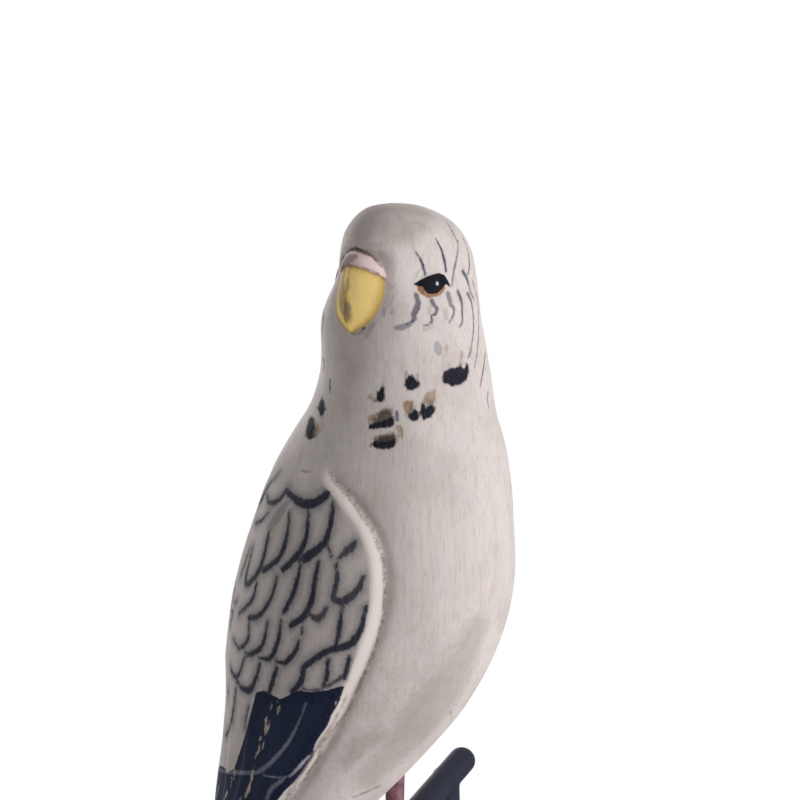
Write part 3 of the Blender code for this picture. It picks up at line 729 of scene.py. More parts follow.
    def __post_init__(self) -> None:
        """Work out the block's grid of points."""
        places = np.concatenate([k + np.arange(count) / count for k, count in enumerate(self.rows)])[1:]
        level = smooth(self.sections, places)
        near = np.linspace(self.close_from, self.close_to, self.close_columns, endpoint=False)
        far = np.linspace(self.close_to, self.close_from + 360.0, self.far_columns, endpoint=False)
        self.levels = level[:, 0]
        self.angles = np.concatenate([near, far])
        self.height = np.repeat(self.levels[:, None], len(self.angles), axis=1)
        self.angle = np.repeat(self.angles[None, :], len(self.levels), axis=0)
        self.across, self.along, self.x, self.y, self.turn = (level[:, k : k + 1] for k in range(1, 6))
        self.radius = np.sqrt(self.across * self.along)
        self.crown = self.sections[-1][0]
        self.points = self._carve()

    def _carve(self) -> Array:
        """Points of the surface: the section's ellipse, moved outwards by the relief.

        Returns:
            The points in millimetres, as rows by columns by x, y and z.
        """
        local = np.radians(self.angle - self.turn)
        ahead = np.cos(local)[..., None] * direction(self.turn)
        aside = np.sin(local)[..., None] * direction(self.turn + 90.0)
        out = ahead * self.across[..., None] + aside * self.along[..., None]
        out /= np.linalg.norm(out, axis=-1, keepdims=True)
        taper = ease(2.0, 9.0, np.minimum(self.across, self.along))
        knife = self._net(*self.facets) + self._net(*self.knife_cuts)
        relief = self._wing() + self._thighs() + knife * taper + self._head() + self._feather_steps()
        middle = np.stack([self.x, self.y], axis=-1)
        plan = middle + ahead * self.along[..., None] + aside * self.across[..., None]
        plan = self._face(plan + out * relief[..., None], middle)
        return np.concatenate([plan, self.height[..., None] + self.tail_tip], axis=-1)

    def side(self) -> Array:
        """The angle from the breast, the same on both sides."""
        return np.abs(signed(self.angle))

    def back_gap(self, height: Array) -> Array:
        """Half the angle of the strip of back that shows between the wings."""
        share = ease(self.wing_tip, self.shoulder, height)
        return self.back_gap_low + (self.back_gap_high - self.back_gap_low) * share

    def inside_wing(self) -> Array:
        """Millimetres inside the wing's front edge."""
        return np.radians(self.side() - curve_at(self.wing_edge, self.levels)) * self.radius

    def inside_back(self) -> Array:
        """Millimetres from the wing's rear edge, away from the spine."""
        return np.radians(180.0 - self.back_gap(self.height) - self.side()) * self.radius

    def wing_depth(self) -> Array:
        """Share of the wing's full relief: it runs out above the shoulder and below the tip."""
        front = 4.0 * ease(8.0, 2.0, self.inside_wing())
        high = ease(self.shoulder + 1.0, self.shoulder - 7.0 + front, self.height)
        return high * ease(self.wing_tip - 2.0, self.wing_tip + 9.0, self.height)

    def _wing(self) -> Array:
        """Relief of the wings: raised, with a bevel at the front edge and a groove beside it."""
        inside, inner = self.inside_wing(), self.inside_back()
        step = ease(-self.edge_bevel, 0.0, inside)
        groove = self.edge_groove * hill(inside + self.edge_bevel)
        lost = (self.wing_relief - self.back_relief) * (1.0 - ease(0.0, self.wing_fall, inner))
        back = self.back_relief * (1.0 - ease(-0.4, 1.2, inner))
        return self.wing_depth() * (step * (self.wing_relief - lost) - back - groove)

    def _feather_steps(self) -> Array:
        """Relief of the long feathers: low ledges that slant back towards the wing's tip."""
        inside, inner = self.inside_wing(), self.inside_back()
        share = inside / np.maximum(inside + inner, 1.0) - 0.006 * (self.height - self.wing_tip)
        ledge = (np.clip(share, -1.0, 2.0) * self.ledges) % 1.0
        low = ease(92.0, 84.0, self.height) * ease(self.wing_tip - 2.0, self.wing_tip + 6.0, self.height)
        low = low * ease(0.0, 1.0, inside) * ease(0.0, 1.5, inner)
        return self.ledge_rise * low * (ease(0.0, 0.85, ledge) - ease(0.85, 1.0, ledge) - 0.4)

    def _thighs(self) -> Array:
        """Relief of the thighs round the tops of the legs."""
        relief = np.zeros_like(self.angle)
        for middle, turn, rise in (self.right_thigh, self.left_thigh):
            across = (signed(self.angle) - turn) / self.thigh_width
            relief += rise * hill(across, (self.height - middle) / self.thigh_height)
        return relief

    def _net(self, tall: float, around_count: int, deep: float, seed: int) -> Array:
        """Relief of knife cuts: a net of random heights with straight lines between its knots.

        Every second row of the net is moved by half a knot.

        Args:
            tall: the distance between two rows.
            around_count: the number of knots round the block.
            deep: the largest height at a knot, in or out.
            seed: the seed of the heights.

        Returns:
            The height at each point of the grid.
        """
        rows = int(self.crown / tall) + 3
        net = np.random.default_rng(seed).uniform(-deep, deep, (rows, around_count))
        row = np.floor(self.height / tall).astype(int)
        t = self.height / tall - row

        def around(line: Array) -> Array:
            """The height on one row of the net."""
            place = (self.angle / 360.0 * around_count + 0.5 * (line % 2)) % around_count
            column = np.floor(place).astype(int)
            s = place - column
            return net[line, column] * (1.0 - s) + net[line, (column + 1) % around_count] * s

        return around(row) * (1.0 - t) + around(row + 1) * t

    def eye_place(self, height: Array, angle: Array) -> tuple[Array, Array]:
        """Millimetres from the nearer eye's centre, towards the nape and up."""
        turn = np.abs(signed(angle - self.head_turn))
        radius = np.interp(height, self.levels, self.radius[:, 0])
        return radius * np.radians(turn - self.eye_angle), height - self.crown + self.eye_depth

    def _head(self) -> Array:
        """Relief of the head: the groove beside the beak, the brow, eye sockets, eyes and cheeks."""
        turn = signed(self.angle - self.head_turn)
        side = self.radius * np.sin(np.radians(turn))
        below = self.height - self.crown
        depths, _, widths = np.array(self.beak[:-1] + self.cere[1:]).T
        heights = self.crown - depths
        tall = ease(heights[0] - 2.0, heights[0] + 0.5, self.height)
        tall = tall * ease(heights[-1] + 0.5, heights[-1], self.height)
        beside = np.maximum(np.abs(side) - np.interp(self.height, heights, widths), 0.0)
        groove = -self.beak_groove * tall * hill(beside / 1.6)
        brow = self.brow_rise * hill(side / 6.5, (below + self.brow_depth) / 1.8)
        out, up = self.eye_place(self.height, self.angle)
        socket_up = (up - 1.0) / (self.socket_radius * 0.75)
        socket = -self.socket_depth * hill((out + 1.2) / self.socket_radius, socket_up)
        away = np.hypot(out, up)
        ball = np.sqrt(np.maximum(1.0 - (away / self.eye_radius) ** 2, 0.0))
        eyeball = np.where(away < self.eye_radius, self.eye_rise * ball - self.socket_depth, -9.0)
        lid = self.lid_rise * hill((away - self.eye_radius - 0.5) / 0.45) * ease(-0.6, 1.0, up)
        cheek = hill((np.abs(turn) - self.cheek_angle) / 24.0, (below + self.cheek_depth) / 5.0)
        face = np.where(np.abs(turn) < 80.0, groove + brow, 0.0)
        return joined(face + socket + lid, eyeball, 0.08) + self.cheek_rise * cheek

    def _lobe(self, levels: Curve, side: Array, ridge: float) -> tuple[Array, Array]:
        """How far the beak or the cere stands out of the face.

        Each level is half an ellipse on the middle line of the face. The levels droop towards their
        ends.

        Args:
            levels: the lobe's levels, from below.
            side: millimetres from the middle line.
            ridge: share of a straight-sided ridge in the round shape.

        Returns:
            The rise in millimetres, and the millimetres inside the lobe's outline.
        """
        table = np.array([(self.crown - depth, rise, width) for depth, rise, width in levels])
        height = self.height + self.lobe_droop * np.minimum(side**2, 60.0)
        shape = curve_at(table, height)
        rise, width = shape[..., 0], np.maximum(shape[..., 1], 0.01)
        share = np.clip(np.hypot(side, 0.12) / width, 0.0, 1.0)
        round_part = (1.0 - ridge) * np.sqrt(1.0 - share**2) + ridge * (1.0 - share)
        tall = np.minimum(height - table[0, 0], table[-1, 0] - height)
        within = np.minimum(tall, width - np.abs(side))
        return np.where(within > 0.0, rise * round_part, 0.0), within

    def _face(self, plan: Array, middle: Array) -> Array:
        """Move the front of the head out to the beak and the cere.

        Args:
            plan: the block's points in plan.
            middle: the centres of their sections.

        Returns:
            The moved points.
        """
        ahead, aside = direction(self.head_turn), direction(self.head_turn + 90.0)
        front = (plan - middle) @ ahead
        side = np.where(front > 0.0, (plan - middle) @ aside, 99.0)
        beak, in_beak = self._lobe(self.beak, side, self.beak_ridge)
        cere, in_cere = self._lobe(self.cere, side, self.cere_ridge)
        self.marks.update(beak=in_beak, cere=in_cere)
        return plan + (joined(beak, cere, 0.16) - 0.08)[..., None] * ahead

    def normals(self) -> Array:
        """Outward normals from the steps between neighbouring rows and columns."""
        upward = np.gradient(self.points, axis=0)
        around = np.roll(self.points, -1, axis=1) - np.roll(self.points, 1, axis=1)
        normal = np.cross(upward, around)
        return normal / np.maximum(np.linalg.norm(normal, axis=-1, keepdims=True), 1e-9)

    def at(self, height: Array, angle: Array) -> Array:
        """Find points of the surface.

        Args:
            height: heights above the tail tip.
            angle: angles from the breast.

        Returns:
            The points in millimetres, between the grid's own.
        """
        row = np.interp(height, self.levels, np.arange(len(self.levels)))
        wrapped = (np.asarray(angle) - self.close_from) % 360.0 + self.close_from
        marks = np.append(self.angles, self.close_from + 360.0)
        column = np.interp(wrapped, marks, np.arange(len(marks)))
        low = np.minimum(np.floor(row).astype(int), len(self.levels) - 2)
        left = np.floor(column).astype(int) % len(self.angles)
        after = (left + 1) % len(self.angles)
        t, s = (row - low)[:, None], (column - np.floor(column))[:, None]
        lower = self.points[low, left] * (1 - s) + self.points[low, after] * s
        upper = self.points[low + 1, left] * (1 - s) + self.points[low + 1, after] * s
        return lower * (1 - t) + upper * t


@dataclass
class Painter:
    """Lays brush strokes on the block, as distances that each of its points holds.

    The outlines of the eye, its brown lower rim and its glint are patches of the photograph's frame.
    Lengths are in millimetres, heights are above the tail tip and angles are from the breast.
    """

    block: CarvedBlock
    camera: PhotoCamera
    reach: float = 3.0
    pixel: float = 0.18
    shown_middle: float = 60.0
    shown_reach: float = 80.0
    glint_radius: float = 0.32
    unseen_seed: int = 11
    nape_lines: int = 30
    nape_from: float = 234.0
    nape_step: float = 2.7
    nape_middle: float = 273.0
    scallop_rows: tuple[float, float, float] = (135.0, 97.0, -7.6)
    scallop_step: float = 18.0
    tip_span: tuple[float, float] = (74.0, 50.0)
    tip_lines: tuple[float, ...] = (0.2, 0.4, 0.6, 0.8)
    tail_span: tuple[float, float] = (43.0, 4.0)
    tail_lines: tuple[float, ...] = (122.0, 148.0, 180.0, 209.0, 237.0)
    tail_top: float = 48.0
    strip_top: float = 102.0
    strip_foot: float = 40.0
    cut_half: float = 0.24
    eye_black: Patch = patches(
        (1, 412.7, 284.2, 420.5, 279.8, 427, 276.3, 433, 274.3, 439.5, 273.1, 444.5, 275.2, 448, 280.5,
         451.2, 288, 445.8, 284, 442.3, 288.8, 437.7, 293, 432.8, 294.3, 428, 293.5, 424.5, 290.4, 422.5,
         286.5, 418, 286)
    )[0]
    eye_rim: Patch = patches(
        (1, 416.5, 285.5, 417.5, 290.5, 421, 294.4, 426, 296.8, 429.5, 298.8, 431.5, 297.3, 437, 296.8,
         442, 294, 445.5, 288.5, 444.5, 283, 430, 281)
    )[0]
    eye_glint: Patch = patches((1, 437.2, 283.7))[0]

    def __post_init__(self) -> None:
        """Find where the camera sees each point, and start each mark as bare."""
        block = self.block
        self.pixels = self.camera.project(block.points)
        toward = self.camera.eye() - block.points
        self.facing = np.sum(block.normals() * toward, axis=-1) > 0.0
        self.flat = block.points.reshape(-1, 3)
        twin_angle = (2.0 * block.head_turn - block.angle).reshape(-1)
        twin = self.camera.project(block.at(block.height.reshape(-1), twin_angle))
        across = np.abs(signed(twin_angle - self.shown_middle)) < self.shown_reach
        self.views = ((self.pixels.reshape(-1, 2), self.facing.reshape(-1)), (twin, across))
        for tint in Tint:
            block.marks[tint.value] = np.full(block.height.shape, -self.reach)
            block.marks[f"{tint.value}_load"] = np.ones(block.height.shape)

    def on_surface(self, pixels: Array) -> tuple[Array, Array]:
        """Find the places of the surface that the camera sees at some pixels.

        The nearest point of the grid is corrected by the slopes of its pixel place along the rows
        and the columns.

        Args:
            pixels: rows of pixel x and y.

        Returns:
            Heights above the tail tip, and angles from the breast.
        """
        block, seen = self.block, self.pixels[self.facing]
        rows, columns = np.nonzero(self.facing)
        heights, angles = [], []
        for spot in pixels:
            k = int(np.argmin(np.sum((seen - spot) ** 2, axis=1)))
            row, column = int(np.clip(rows[k], 1, len(block.levels) - 2)), int(columns[k])
            after = (column + 1) % len(block.angles)
            here = self.pixels[row, column]
            upward = (self.pixels[row + 1, column] - self.pixels[row - 1, column]) / 2.0
            slope = np.stack([upward, self.pixels[row, after] - here], axis=-1)
            step = np.clip(np.linalg.lstsq(slope, spot - here, rcond=0.05)[0], -1.0, 1.0)
            angle_step = (block.angles[after] - block.angles[column]) % 360.0
            level_step = (block.levels[row + 1] - block.levels[row - 1]) / 2.0
            heights.append(block.levels[row] + step[0] * level_step)
            angles.append(block.angles[column] + step[1] * angle_step)
        return np.array(heights), np.array(angles)

    def lay(self, tint: Tint, heights: Array, angles: Array, width: Sequence[float], load: float) -> None:
        """Lay one stroke on the surface.

        Args:
            tint: the kind of mark.
            heights: heights along the stroke's middle line.
            angles: angles along it.
            width: its width at its start, middle and end.
            load: how full the brush was.
        """
        path, half = self.block.at(heights, angles), brush_widths(width, len(heights))
        margin = self.reach + float(half.max())
        low, high = path.min(axis=0) - margin, path.max(axis=0) + margin
        near = np.flatnonzero(np.all((self.flat > low) & (self.flat < high), axis=1))
        self._cover(tint, near, coverage(self.flat[near], path, half), load)

    def _cover(self, tint: Tint, near: Array, covered: Array, load: float) -> None:
        """Write a mark's distances and load where it lies over what is there.

        Args:
            tint: the kind of mark.
            near: the numbers of the points.
            covered: how far inside the mark each of them lies.
            load: how full the brush was.
        """
        mark = self.block.marks[tint.value].reshape(-1)
        over = covered > mark[near]
        mark[near[over]] = covered[over]
        self.block.marks[f"{tint.value}_load"].reshape(-1)[near[over]] = load

    def paint(self, tint: Tint, marks: tuple[Stroke | Patch, ...]) -> None:
        """Paint marks where the photograph shows them, with their copies on the other side.

        Args:
            tint: the kind of mark.
            marks: the strokes or the patches.
        """
        for mark in marks:
            if isinstance(mark, Patch):
                self._fill_patch(tint, mark)
                continue
            heights, angles = self.on_surface(curved(mark.path))
            self.lay(tint, heights, angles, mark.width, mark.load)
            if mark.copy is not Copy.NONE:
                middle = self.block.head_turn if mark.copy is Copy.FACE else 0.0
                self.lay(tint, heights, 2.0 * middle - angles, mark.width, mark.load)

    def _fill_patch(self, tint: Tint, patch: Patch) -> None:
        """Fill an outline, and its copy on the head's other side.

        Args:
            tint: the kind of mark.
            patch: the outline.
        """
        outline = np.array(patch.outline)
        middle, size = outline.mean(axis=0), np.ptp(outline, axis=0).max()
        for pixels, shown in self.views[: 2 if patch.copy is Copy.FACE else 1]:
            close = shown & (np.abs(pixels - middle).max(axis=1) < size + self.reach / self.pixel)
            near = np.flatnonzero(close)
            self._cover(tint, near, enclosed(pixels[near], outline) * self.pixel, patch.load)

    def _trail(self, tint: Tint, heights: Array, angles: Array, width: Sequence[float], load: float) -> None:
        """Lay a smooth stroke through a few heights and angles."""
        self.lay(tint, *curved(np.stack([heights, angles], axis=1)).T, width, load)

    def paint_unseen(self) -> None:
        """Paint what the photograph hides: nape lines, back scallops, tail and wing-tip edges."""
        random = np.random.default_rng(self.unseen_seed)
        self._nape(random)
        self._back(random)
        self._wing_tips()
        for angle in self.tail_lines:
            sway = angle + np.cumsum(random.normal(0.0, 1.0, 6))
            self._trail(Tint.FROST, np.linspace(*self.tail_span, 6), sway, (0.2, 0.45, 0.25), 0.45)

    def _nape(self, random: np.random.Generator) -> None:
        """Draw the nape's grey squiggles, in three bands that run into each other."""
        for line in range(self.nape_lines):
            angle = self.nape_from + self.nape_step * line + random.normal(0.0, 1.2)
            top = self.block.crown - 5.0 - 11.0 * (line % 3) - random.uniform(0.0, 7.0)
            heights = np.linspace(top, top - random.uniform(6.0, 13.0), 5)
            fan = np.linspace(0.0, (angle - self.nape_middle) * 0.06, 5)
            sway = angle + np.cumsum(random.normal(0.0, 1.5, 5)) + fan
            width = (0.4, random.uniform(0.45, 0.8), 0.3)
            self._trail(Tint.LINE, heights, sway, width, random.uniform(0.6, 0.9))

    def _back(self, random: np.random.Generator) -> None:
        """Draw the back's scallops in rows, each row moved by half a scallop, where no wing covers them."""
        across = np.linspace(-1.0, 1.0, 5)
        for row, height in enumerate(np.arange(*self.scallop_rows)):
            for place in np.arange(-3, 4):
                angle = 180.0 + (place + 0.5 * (row % 2)) * self.scallop_step + random.normal(0.0, 2.0)
                drop = height + random.normal(0.0, 0.8)
                if abs(angle - 180.0) > self.block.back_gap(np.array(height)) + 5.0:
                    continue
                deep, wide = random.uniform(3.6, 5.2), random.uniform(6.5, 8.0)
                lean = random.normal(0.0, 0.5) * across
                heights = drop + lean - deep * (1.0 - across**2)
                width = (0.45, random.uniform(1.0, 1.6), random.uniform(0.3, 0.6))
                self._trail(Tint.SLATE, heights, angle + wide * across, width, random.uniform(0.8, 1.0))

    def _wing_tips(self) -> None:
        """Draw the pale edges of the long feathers below the photograph's edge, on both wings."""
        heights = np.linspace(*self.tip_span, 8)
        edge = curve_at(self.block.wing_edge, heights)[:, 0]
        room = 180.0 - self.block.back_gap(heights) - edge
        for side in (1.0, -1.0):
            for share in self.tip_lines:
                slant = np.linspace(share - 0.12, share + 0.1, 8)
                self._trail(Tint.FROST, heights, side * (edge + room * slant), (0.3, 0.5, 0.3), 0.6)

    def follow_carving(self) -> None:
        """Work out the coats that follow the carving: washes, rims, wax in the cuts and the eyes."""
        block, marks = self.block, self.block.marks
        inside, inner, height, side = block.inside_wing(), block.inside_back(), block.height, block.side()
        edges = curve_at(block.rim_edges, height)
        sway = 0.06 * np.sin(height * 1.3) + 0.06 * np.sin(height * 0.47 + 1.0)
        inner_edge, outer_edge = edges[..., 0] + sway, edges[..., 1] - 0.8 * sway
        rim = np.minimum(inner_edge - inside, inside - outer_edge)
        rim = np.minimum(rim, (block.shoulder + 1.0 - height) * 0.25)
        rim = np.where(height > block.wing_tip, rim, -self.reach)
        groove = self.cut_half - np.abs(inside - outer_edge + 0.25)
        high_edge = np.interp(side, *np.array(block.night_top).T) - height
        low_edge = np.interp(side, *np.array(block.night_middle).T) - height
        low_edge += 1.2 * np.abs(np.sin(np.radians(side - 100.0) * 7.0)) * ease(100.0, 118.0, side)
        reached = np.interp(height, *np.array(block.night_reach).T) - inside
        upper_night = np.minimum(high_edge, reached)
        lower_night = np.minimum(low_edge, inner)
        night = np.minimum(inside - inner_edge, np.maximum(upper_night, lower_night))
        tail = self.tail_top - 4.0 * ease(180.0, 150.0, side) - height
        tail = np.minimum(tail + 1.6 * np.abs(np.sin(np.radians(side) * 6.0)), (side - 78.0) * 0.12)
        strip = np.minimum(-inner - 0.2, (self.strip_top - height) * 0.2)
        marks["wash"] = np.minimum(inside + 0.2, (block.shoulder - 1.0 - height) * 0.35)
        marks["rim"] = np.maximum(marks["rim"], rim)
        marks["cut"] = np.where(block.wing_depth() > 0.15, groove, -self.reach)
        marks["night"] = np.maximum(night, tail)
        marks["strip"] = np.minimum(strip, (height - self.strip_foot) * 0.3)
        self._eyes()
        drawn = {tint.value for tint in Tint} - {"rim"}
        for name in marks:
            if name.removesuffix("_load") not in drawn:
                marks[name] = np.clip(marks[name], -self.reach, self.reach)

    def _eyes(self) -> None:
        """Paint both eyes: pupil and upper lid in black, a brown lower rim and a white glint."""
        block, marks = self.block, self.block.marks
        place = np.stack(block.eye_place(block.height, block.angle), axis=-1).reshape(-1, 2)
        near = np.flatnonzero(np.linalg.norm(place, axis=1) < 8.0)
        for name in ("eye_rim", "eye_black", "eye_glint"):
            spots = np.array(getattr(self, name).outline)
            outline = np.stack(block.eye_place(*self.on_surface(spots)), axis=-1)
            marks[name] = np.full(block.height.shape, -self.reach)
            if len(outline) > 1:
                marks[name].reshape(-1)[near] = enclosed(place[near], outline)
            else:
                away = np.linalg.norm(place[near] - outline[0], axis=1)
                marks[name].reshape(-1)[near] = self.glint_radius - away


def add_node(
    tree: bpy.types.NodeTree, kind: str, inputs: dict[int | str, object] | None = None, **settings: object
) -> bpy.types.NodeOutputs:
    """Add one node with its settings and links.

    Args:
        tree: the material's or the world's node tree.
        kind: the node's type name in Blender, without its leading ShaderNode.
        inputs: for each input socket, a value to set or an output socket to link.
        settings: properties of the node.

    Returns:
        The node's outputs.
    """
    node = tree.nodes.new(f"ShaderNode{kind}")
    for name, value in settings.items():
        setattr(node, name, value)
    for key, value in (inputs or {}).items():
        if isinstance(value, bpy.types.NodeSocket):
            tree.links.new(value, node.inputs[key])
        else:
            node.inputs[key].default_value = value
    return node.outputs


def new_material(name: str, values: dict[str, object]) -> tuple[bpy.types.Material, bpy.types.Node]:
    """Make a material with nodes.

    Args:
        name: the material's name.
        values: what its Principled shader's own sockets are set to.

    Returns:
        The material and its shader.
    """
    material = bpy.data.materials.new(name)
    material.use_nodes = True
    shader = material.node_tree.nodes["Principled BSDF"]
    for key, value in values.items():
        shader.inputs[key].default_value = value
    return material, shader


@dataclass(frozen=True)
class Coat:
    """One coat of paint or wax, laid where an attribute of the mesh is above zero.

    The attribute is a distance in millimetres inside the coat's edge. The edge fades over twice
    soft, wanders by wobble and frays by frayed along the grain, and the share broken of the coat is
    left bare in streaks.
    """

    name: str
    colour: str
    soft: float
    wobble: float
    broken: float
    cover: float
    loaded: bool = False
    shift: float = 0.0
    frayed: float = 0.0


@dataclass(frozen=True)
class PaintedLimewood:
    """Carved limewood under thin matt acrylic, brushed by hand and rubbed with brown wax.

    The eye sees long streaks of grain through the paint, dry brush ends, soft grey shade beside the
    strokes and brown in each cut. A noise has its size across and along the grain in millimetres,
    its detail and its roughness. A veil lays its colour over the ground, at most by a share, where
    its noise goes from one value to another.
    """

    ground: str = "#d6cdca"
    noises: tuple[tuple[str, float, float, float, float], ...] = (
        ("grain", 1.1, 30.0, 4.0, 0.6),
        ("hairs", 0.3, 3.2, 2.0, 0.5),
        ("blotch", 11.0, 11.0, 3.0, 0.65),
        ("edge", 0.9, 0.9, 3.0, 0.7),
    )
    veils: tuple[tuple[str, float, float, float, str], ...] = (
        ("blotch", 0.42, 0.72, 0.45, "#b9adaa"),
        ("grain", 0.48, 0.72, 0.32, "#b9a48e"),
        ("hairs", 0.5, 0.75, 0.25, "#8d7c70"),
    )
    roughness: float = 0.75
    sheen: float = 0.15
    coats: tuple[Coat, ...] = (
        # soiled paint, and painted shade above the cere and beside the wing's edge
        Coat("soil_and_shade", "#837971", 2.2, 1.0, 0.25, 0.62, True),
        Coat("wash", "#a09794", 1.2, 0.7, 0.6, 0.3),
        Coat("strip", "#8d8580", 0.8, 0.6, 0.35, 0.8),
        Coat("slate", "#55535f", 1.3, 0.35, 0.25, 0.74, True, -0.58),
        Coat("night", "#101a33", 0.15, 0.15, 0.015, 1.0),
        Coat("night", "#2b3852", 1.3, 1.6, 0.6, 0.5, False, 1.9),
        Coat("cut", "#664733", 0.3, 0.5, 0.3, 0.6),
        Coat("rim", "#d4cac6", 0.12, 0.15, 0.2, 0.97, False, 0.05),
        Coat("frost", "#b9bbca", 0.25, 0.12, 0.15, 0.95, True),
        Coat("fleck", "#c2ae9c", 0.12, 0.12, 0.35, 0.95, True),
        Coat("pink", "#c99a9a", 0.3, 0.2, 0.2, 0.9, True),
        Coat("slate", "#222637", 0.27, 0.2, 0.07, 0.97, True),
        Coat("line", "#23284a", 0.2, 0.12, 0.1, 0.95, True),
        Coat("tan", "#8f6d42", 0.3, 0.25, 0.2, 1.0, True, -0.15, 0.3),
        Coat("umber", "#3a2d25", 0.5, 0.25, 0.03, 1.0, True, -0.1, 0.2),
        # black spots, and a line of painted shade under the beak's tip
        Coat("spot", "#121522", 0.24, 0.2, 0.025, 1.0, True, -0.05, 0.14),
        # the beak: darker gold at its edges, bright yellow from inside them
        Coat("beak", "#c09a50", 0.1, 0.05, 0.0, 1.0),
        Coat("beak", "#f6d688", 0.9, 0.25, 0.05, 0.98, False, 0.6),
        # painted shade on the beak's far side
        Coat("painted_beak_shade", "#80632d", 0.7, 0.25, 0.1, 0.9, True),
        Coat("cere", "#ead3cf", 0.12, 0.1, 0.1, 1.0),
        # brown wax, and painted shade over the cere and under the beak's tip
        Coat("wax_and_shade", "#52342a", 0.2, 0.15, 0.2, 0.9, True),
        Coat("smear", "#7d6c6b", 0.3, 0.3, 0.2, 0.85, True),
        Coat("eye_rim", "#9a623c", 0.15, 0.12, 0.2, 0.95),
        Coat("eye_black", "#0b0d16", 0.08, 0.04, 0.0, 1.0),
        Coat("eye_glint", "#c6c7ce", 0.12, 0.1, 0.0, 1.0),
    )

    def make(self) -> bpy.types.Material:
        """Make the material, coat over coat."""
        values = {"Roughness": self.roughness, "Specular IOR Level": self.sheen}
        material, shader = new_material("painted_limewood", values)
        tree = material.node_tree
        place = add_node(tree, "TexCoord")["Object"]
        noise = {}
        for name, across, along, detail, rough in self.noises:
            scale = (1.0 / (across * MM), 1.0 / (across * MM), 1.0 / (along * MM))
            grid = add_node(tree, "Mapping", {"Vector": place, "Scale": scale})[0]
            look = {"Vector": grid, "Scale": 1.0, "Detail": detail, "Roughness": rough}
            noise[name] = add_node(tree, "TexNoise", look)["Fac"]
        colour = linear(self.ground)
        for name, low, high, share, veil in self.veils:
            span = {"Value": noise[name], "From Min": low, "From Max": high, "To Max": share}
            mask = add_node(tree, "MapRange", span, interpolation_type="SMOOTHSTEP")[0]
            colour = add_node(tree, "Mix", {0: mask, 6: colour, 7: linear(veil)}, data_type="RGBA")[2]
        wander = add_node(tree, "Math", {0: noise["edge"], 1: 0.5}, operation="SUBTRACT")[0]
        streak = add_node(tree, "MapRange", {"Value": noise["hairs"], "From Min": 0.42, "From Max": 0.62})[0]
        for coat in self.coats:
            colour = self._lay(tree, coat, colour, wander, streak)
        tree.links.new(colour, shader.inputs["Base Color"])
        rough = add_node(tree, "Math", {0: noise["hairs"], 1: 0.4, 2: 0.3}, operation="MULTIPLY_ADD")[0]
        relief = add_node(tree, "Math", {0: noise["grain"], 1: 0.3, 2: rough}, operation="MULTIPLY_ADD")[0]
        bump = add_node(tree, "Bump", {"Strength": 0.4, "Distance": 0.2 * MM, "Height": relief})
        tree.links.new(bump[0], shader.inputs["Normal"])
        return material

    def _lay(
        self,
        tree: bpy.types.NodeTree,
        coat: Coat,
        under: bpy.types.NodeSocket,
        wander: bpy.types.NodeSocket,
        streak: bpy.types.NodeSocket,
    ) -> bpy.types.NodeSocket:
        """Lay one coat over the colour below it.

        Args:
            tree: the material's node tree.
            coat: the coat.
            under: the colour below.
            wander: noise about zero that moves the coat's edge.
            streak: noise from 0 to 1 along the grain that breaks the coat.

        Returns:
            The colour with the coat on it.
        """
        mark = add_node(tree, "Attribute", attribute_name=coat.name)["Fac"]
        for noise, amount in ((wander, 4.0 * coat.wobble), (streak, -coat.frayed)):
            mark = add_node(tree, "Math", {0: noise, 1: amount, 2: mark}, operation="MULTIPLY_ADD")[0]
        span = {"Value": mark, "From Min": coat.shift - coat.soft, "From Max": coat.shift + coat.soft}
        mask = add_node(tree, "MapRange", {**span, "To Max": coat.cover}, interpolation_type="SMOOTHSTEP")[0]
        shares = [add_node(tree, "Math", {0: streak, 1: -coat.broken, 2: 1.0}, operation="MULTIPLY_ADD")[0]]
        if coat.loaded:
            shares.append(add_node(tree, "Attribute", attribute_name=f"{coat.name}_load")["Fac"])
        for share in shares:
            mask = add_node(tree, "Math", {0: mask, 1: share}, operation="MULTIPLY")[0]
        return add_node(tree, "Mix", {0: mask, 6: under, 7: linear(coat.colour)}, data_type="RGBA")[2]


@dataclass(frozen=True)
class BrushedEnamel:
    """Matt enamel brushed on a metal rod: thin, a little uneven, darker where it pooled.

    The patches' size is in millimetres. The fine noise of the brush is half a millimetre wide.
    """

    name: str
    colour: str
    pooled: str
    patch: float
    roughness: float
    brush: float = 0.5
    sheen: float = 0.25

    def make(self) -> bpy.types.Material:
        """Make the material."""
        material, shader = new_material(self.name, {"Specular IOR Level": self.sheen})
        tree = material.node_tree
        place = add_node(tree, "TexCoord")["Object"]
        look = {"Vector": place, "Scale": 1.0 / (self.patch * MM), "Detail": 4.0, "Roughness": 0.6}
        patch = add_node(tree, "TexNoise", look)["Fac"]
        share = add_node(tree, "MapRange", {"Value": patch, "From Min": 0.35, "From Max": 0.68})[0]
        both = {0: share, 6: linear(self.colour), 7: linear(self.pooled)}
        gloss = {"Value": patch, "To Min": self.roughness + 0.1, "To Max": self.roughness - 0.1}
        fine = {"Vector": place, "Scale": 1.0 / (self.brush * MM), "Detail": 3.0}
        relief = {"Strength": 0.35, "Distance": 0.1 * MM, "Height": add_node(tree, "TexNoise", fine)["Fac"]}
        tree.links.new(add_node(tree, "Mix", both, data_type="RGBA")[2], shader.inputs["Base Color"])
        tree.links.new(add_node(tree, "MapRange", gloss)[0], shader.inputs["Roughness"])
        tree.links.new(add_node(tree, "Bump", relief)[0], shader.inputs["Normal"])
        return material


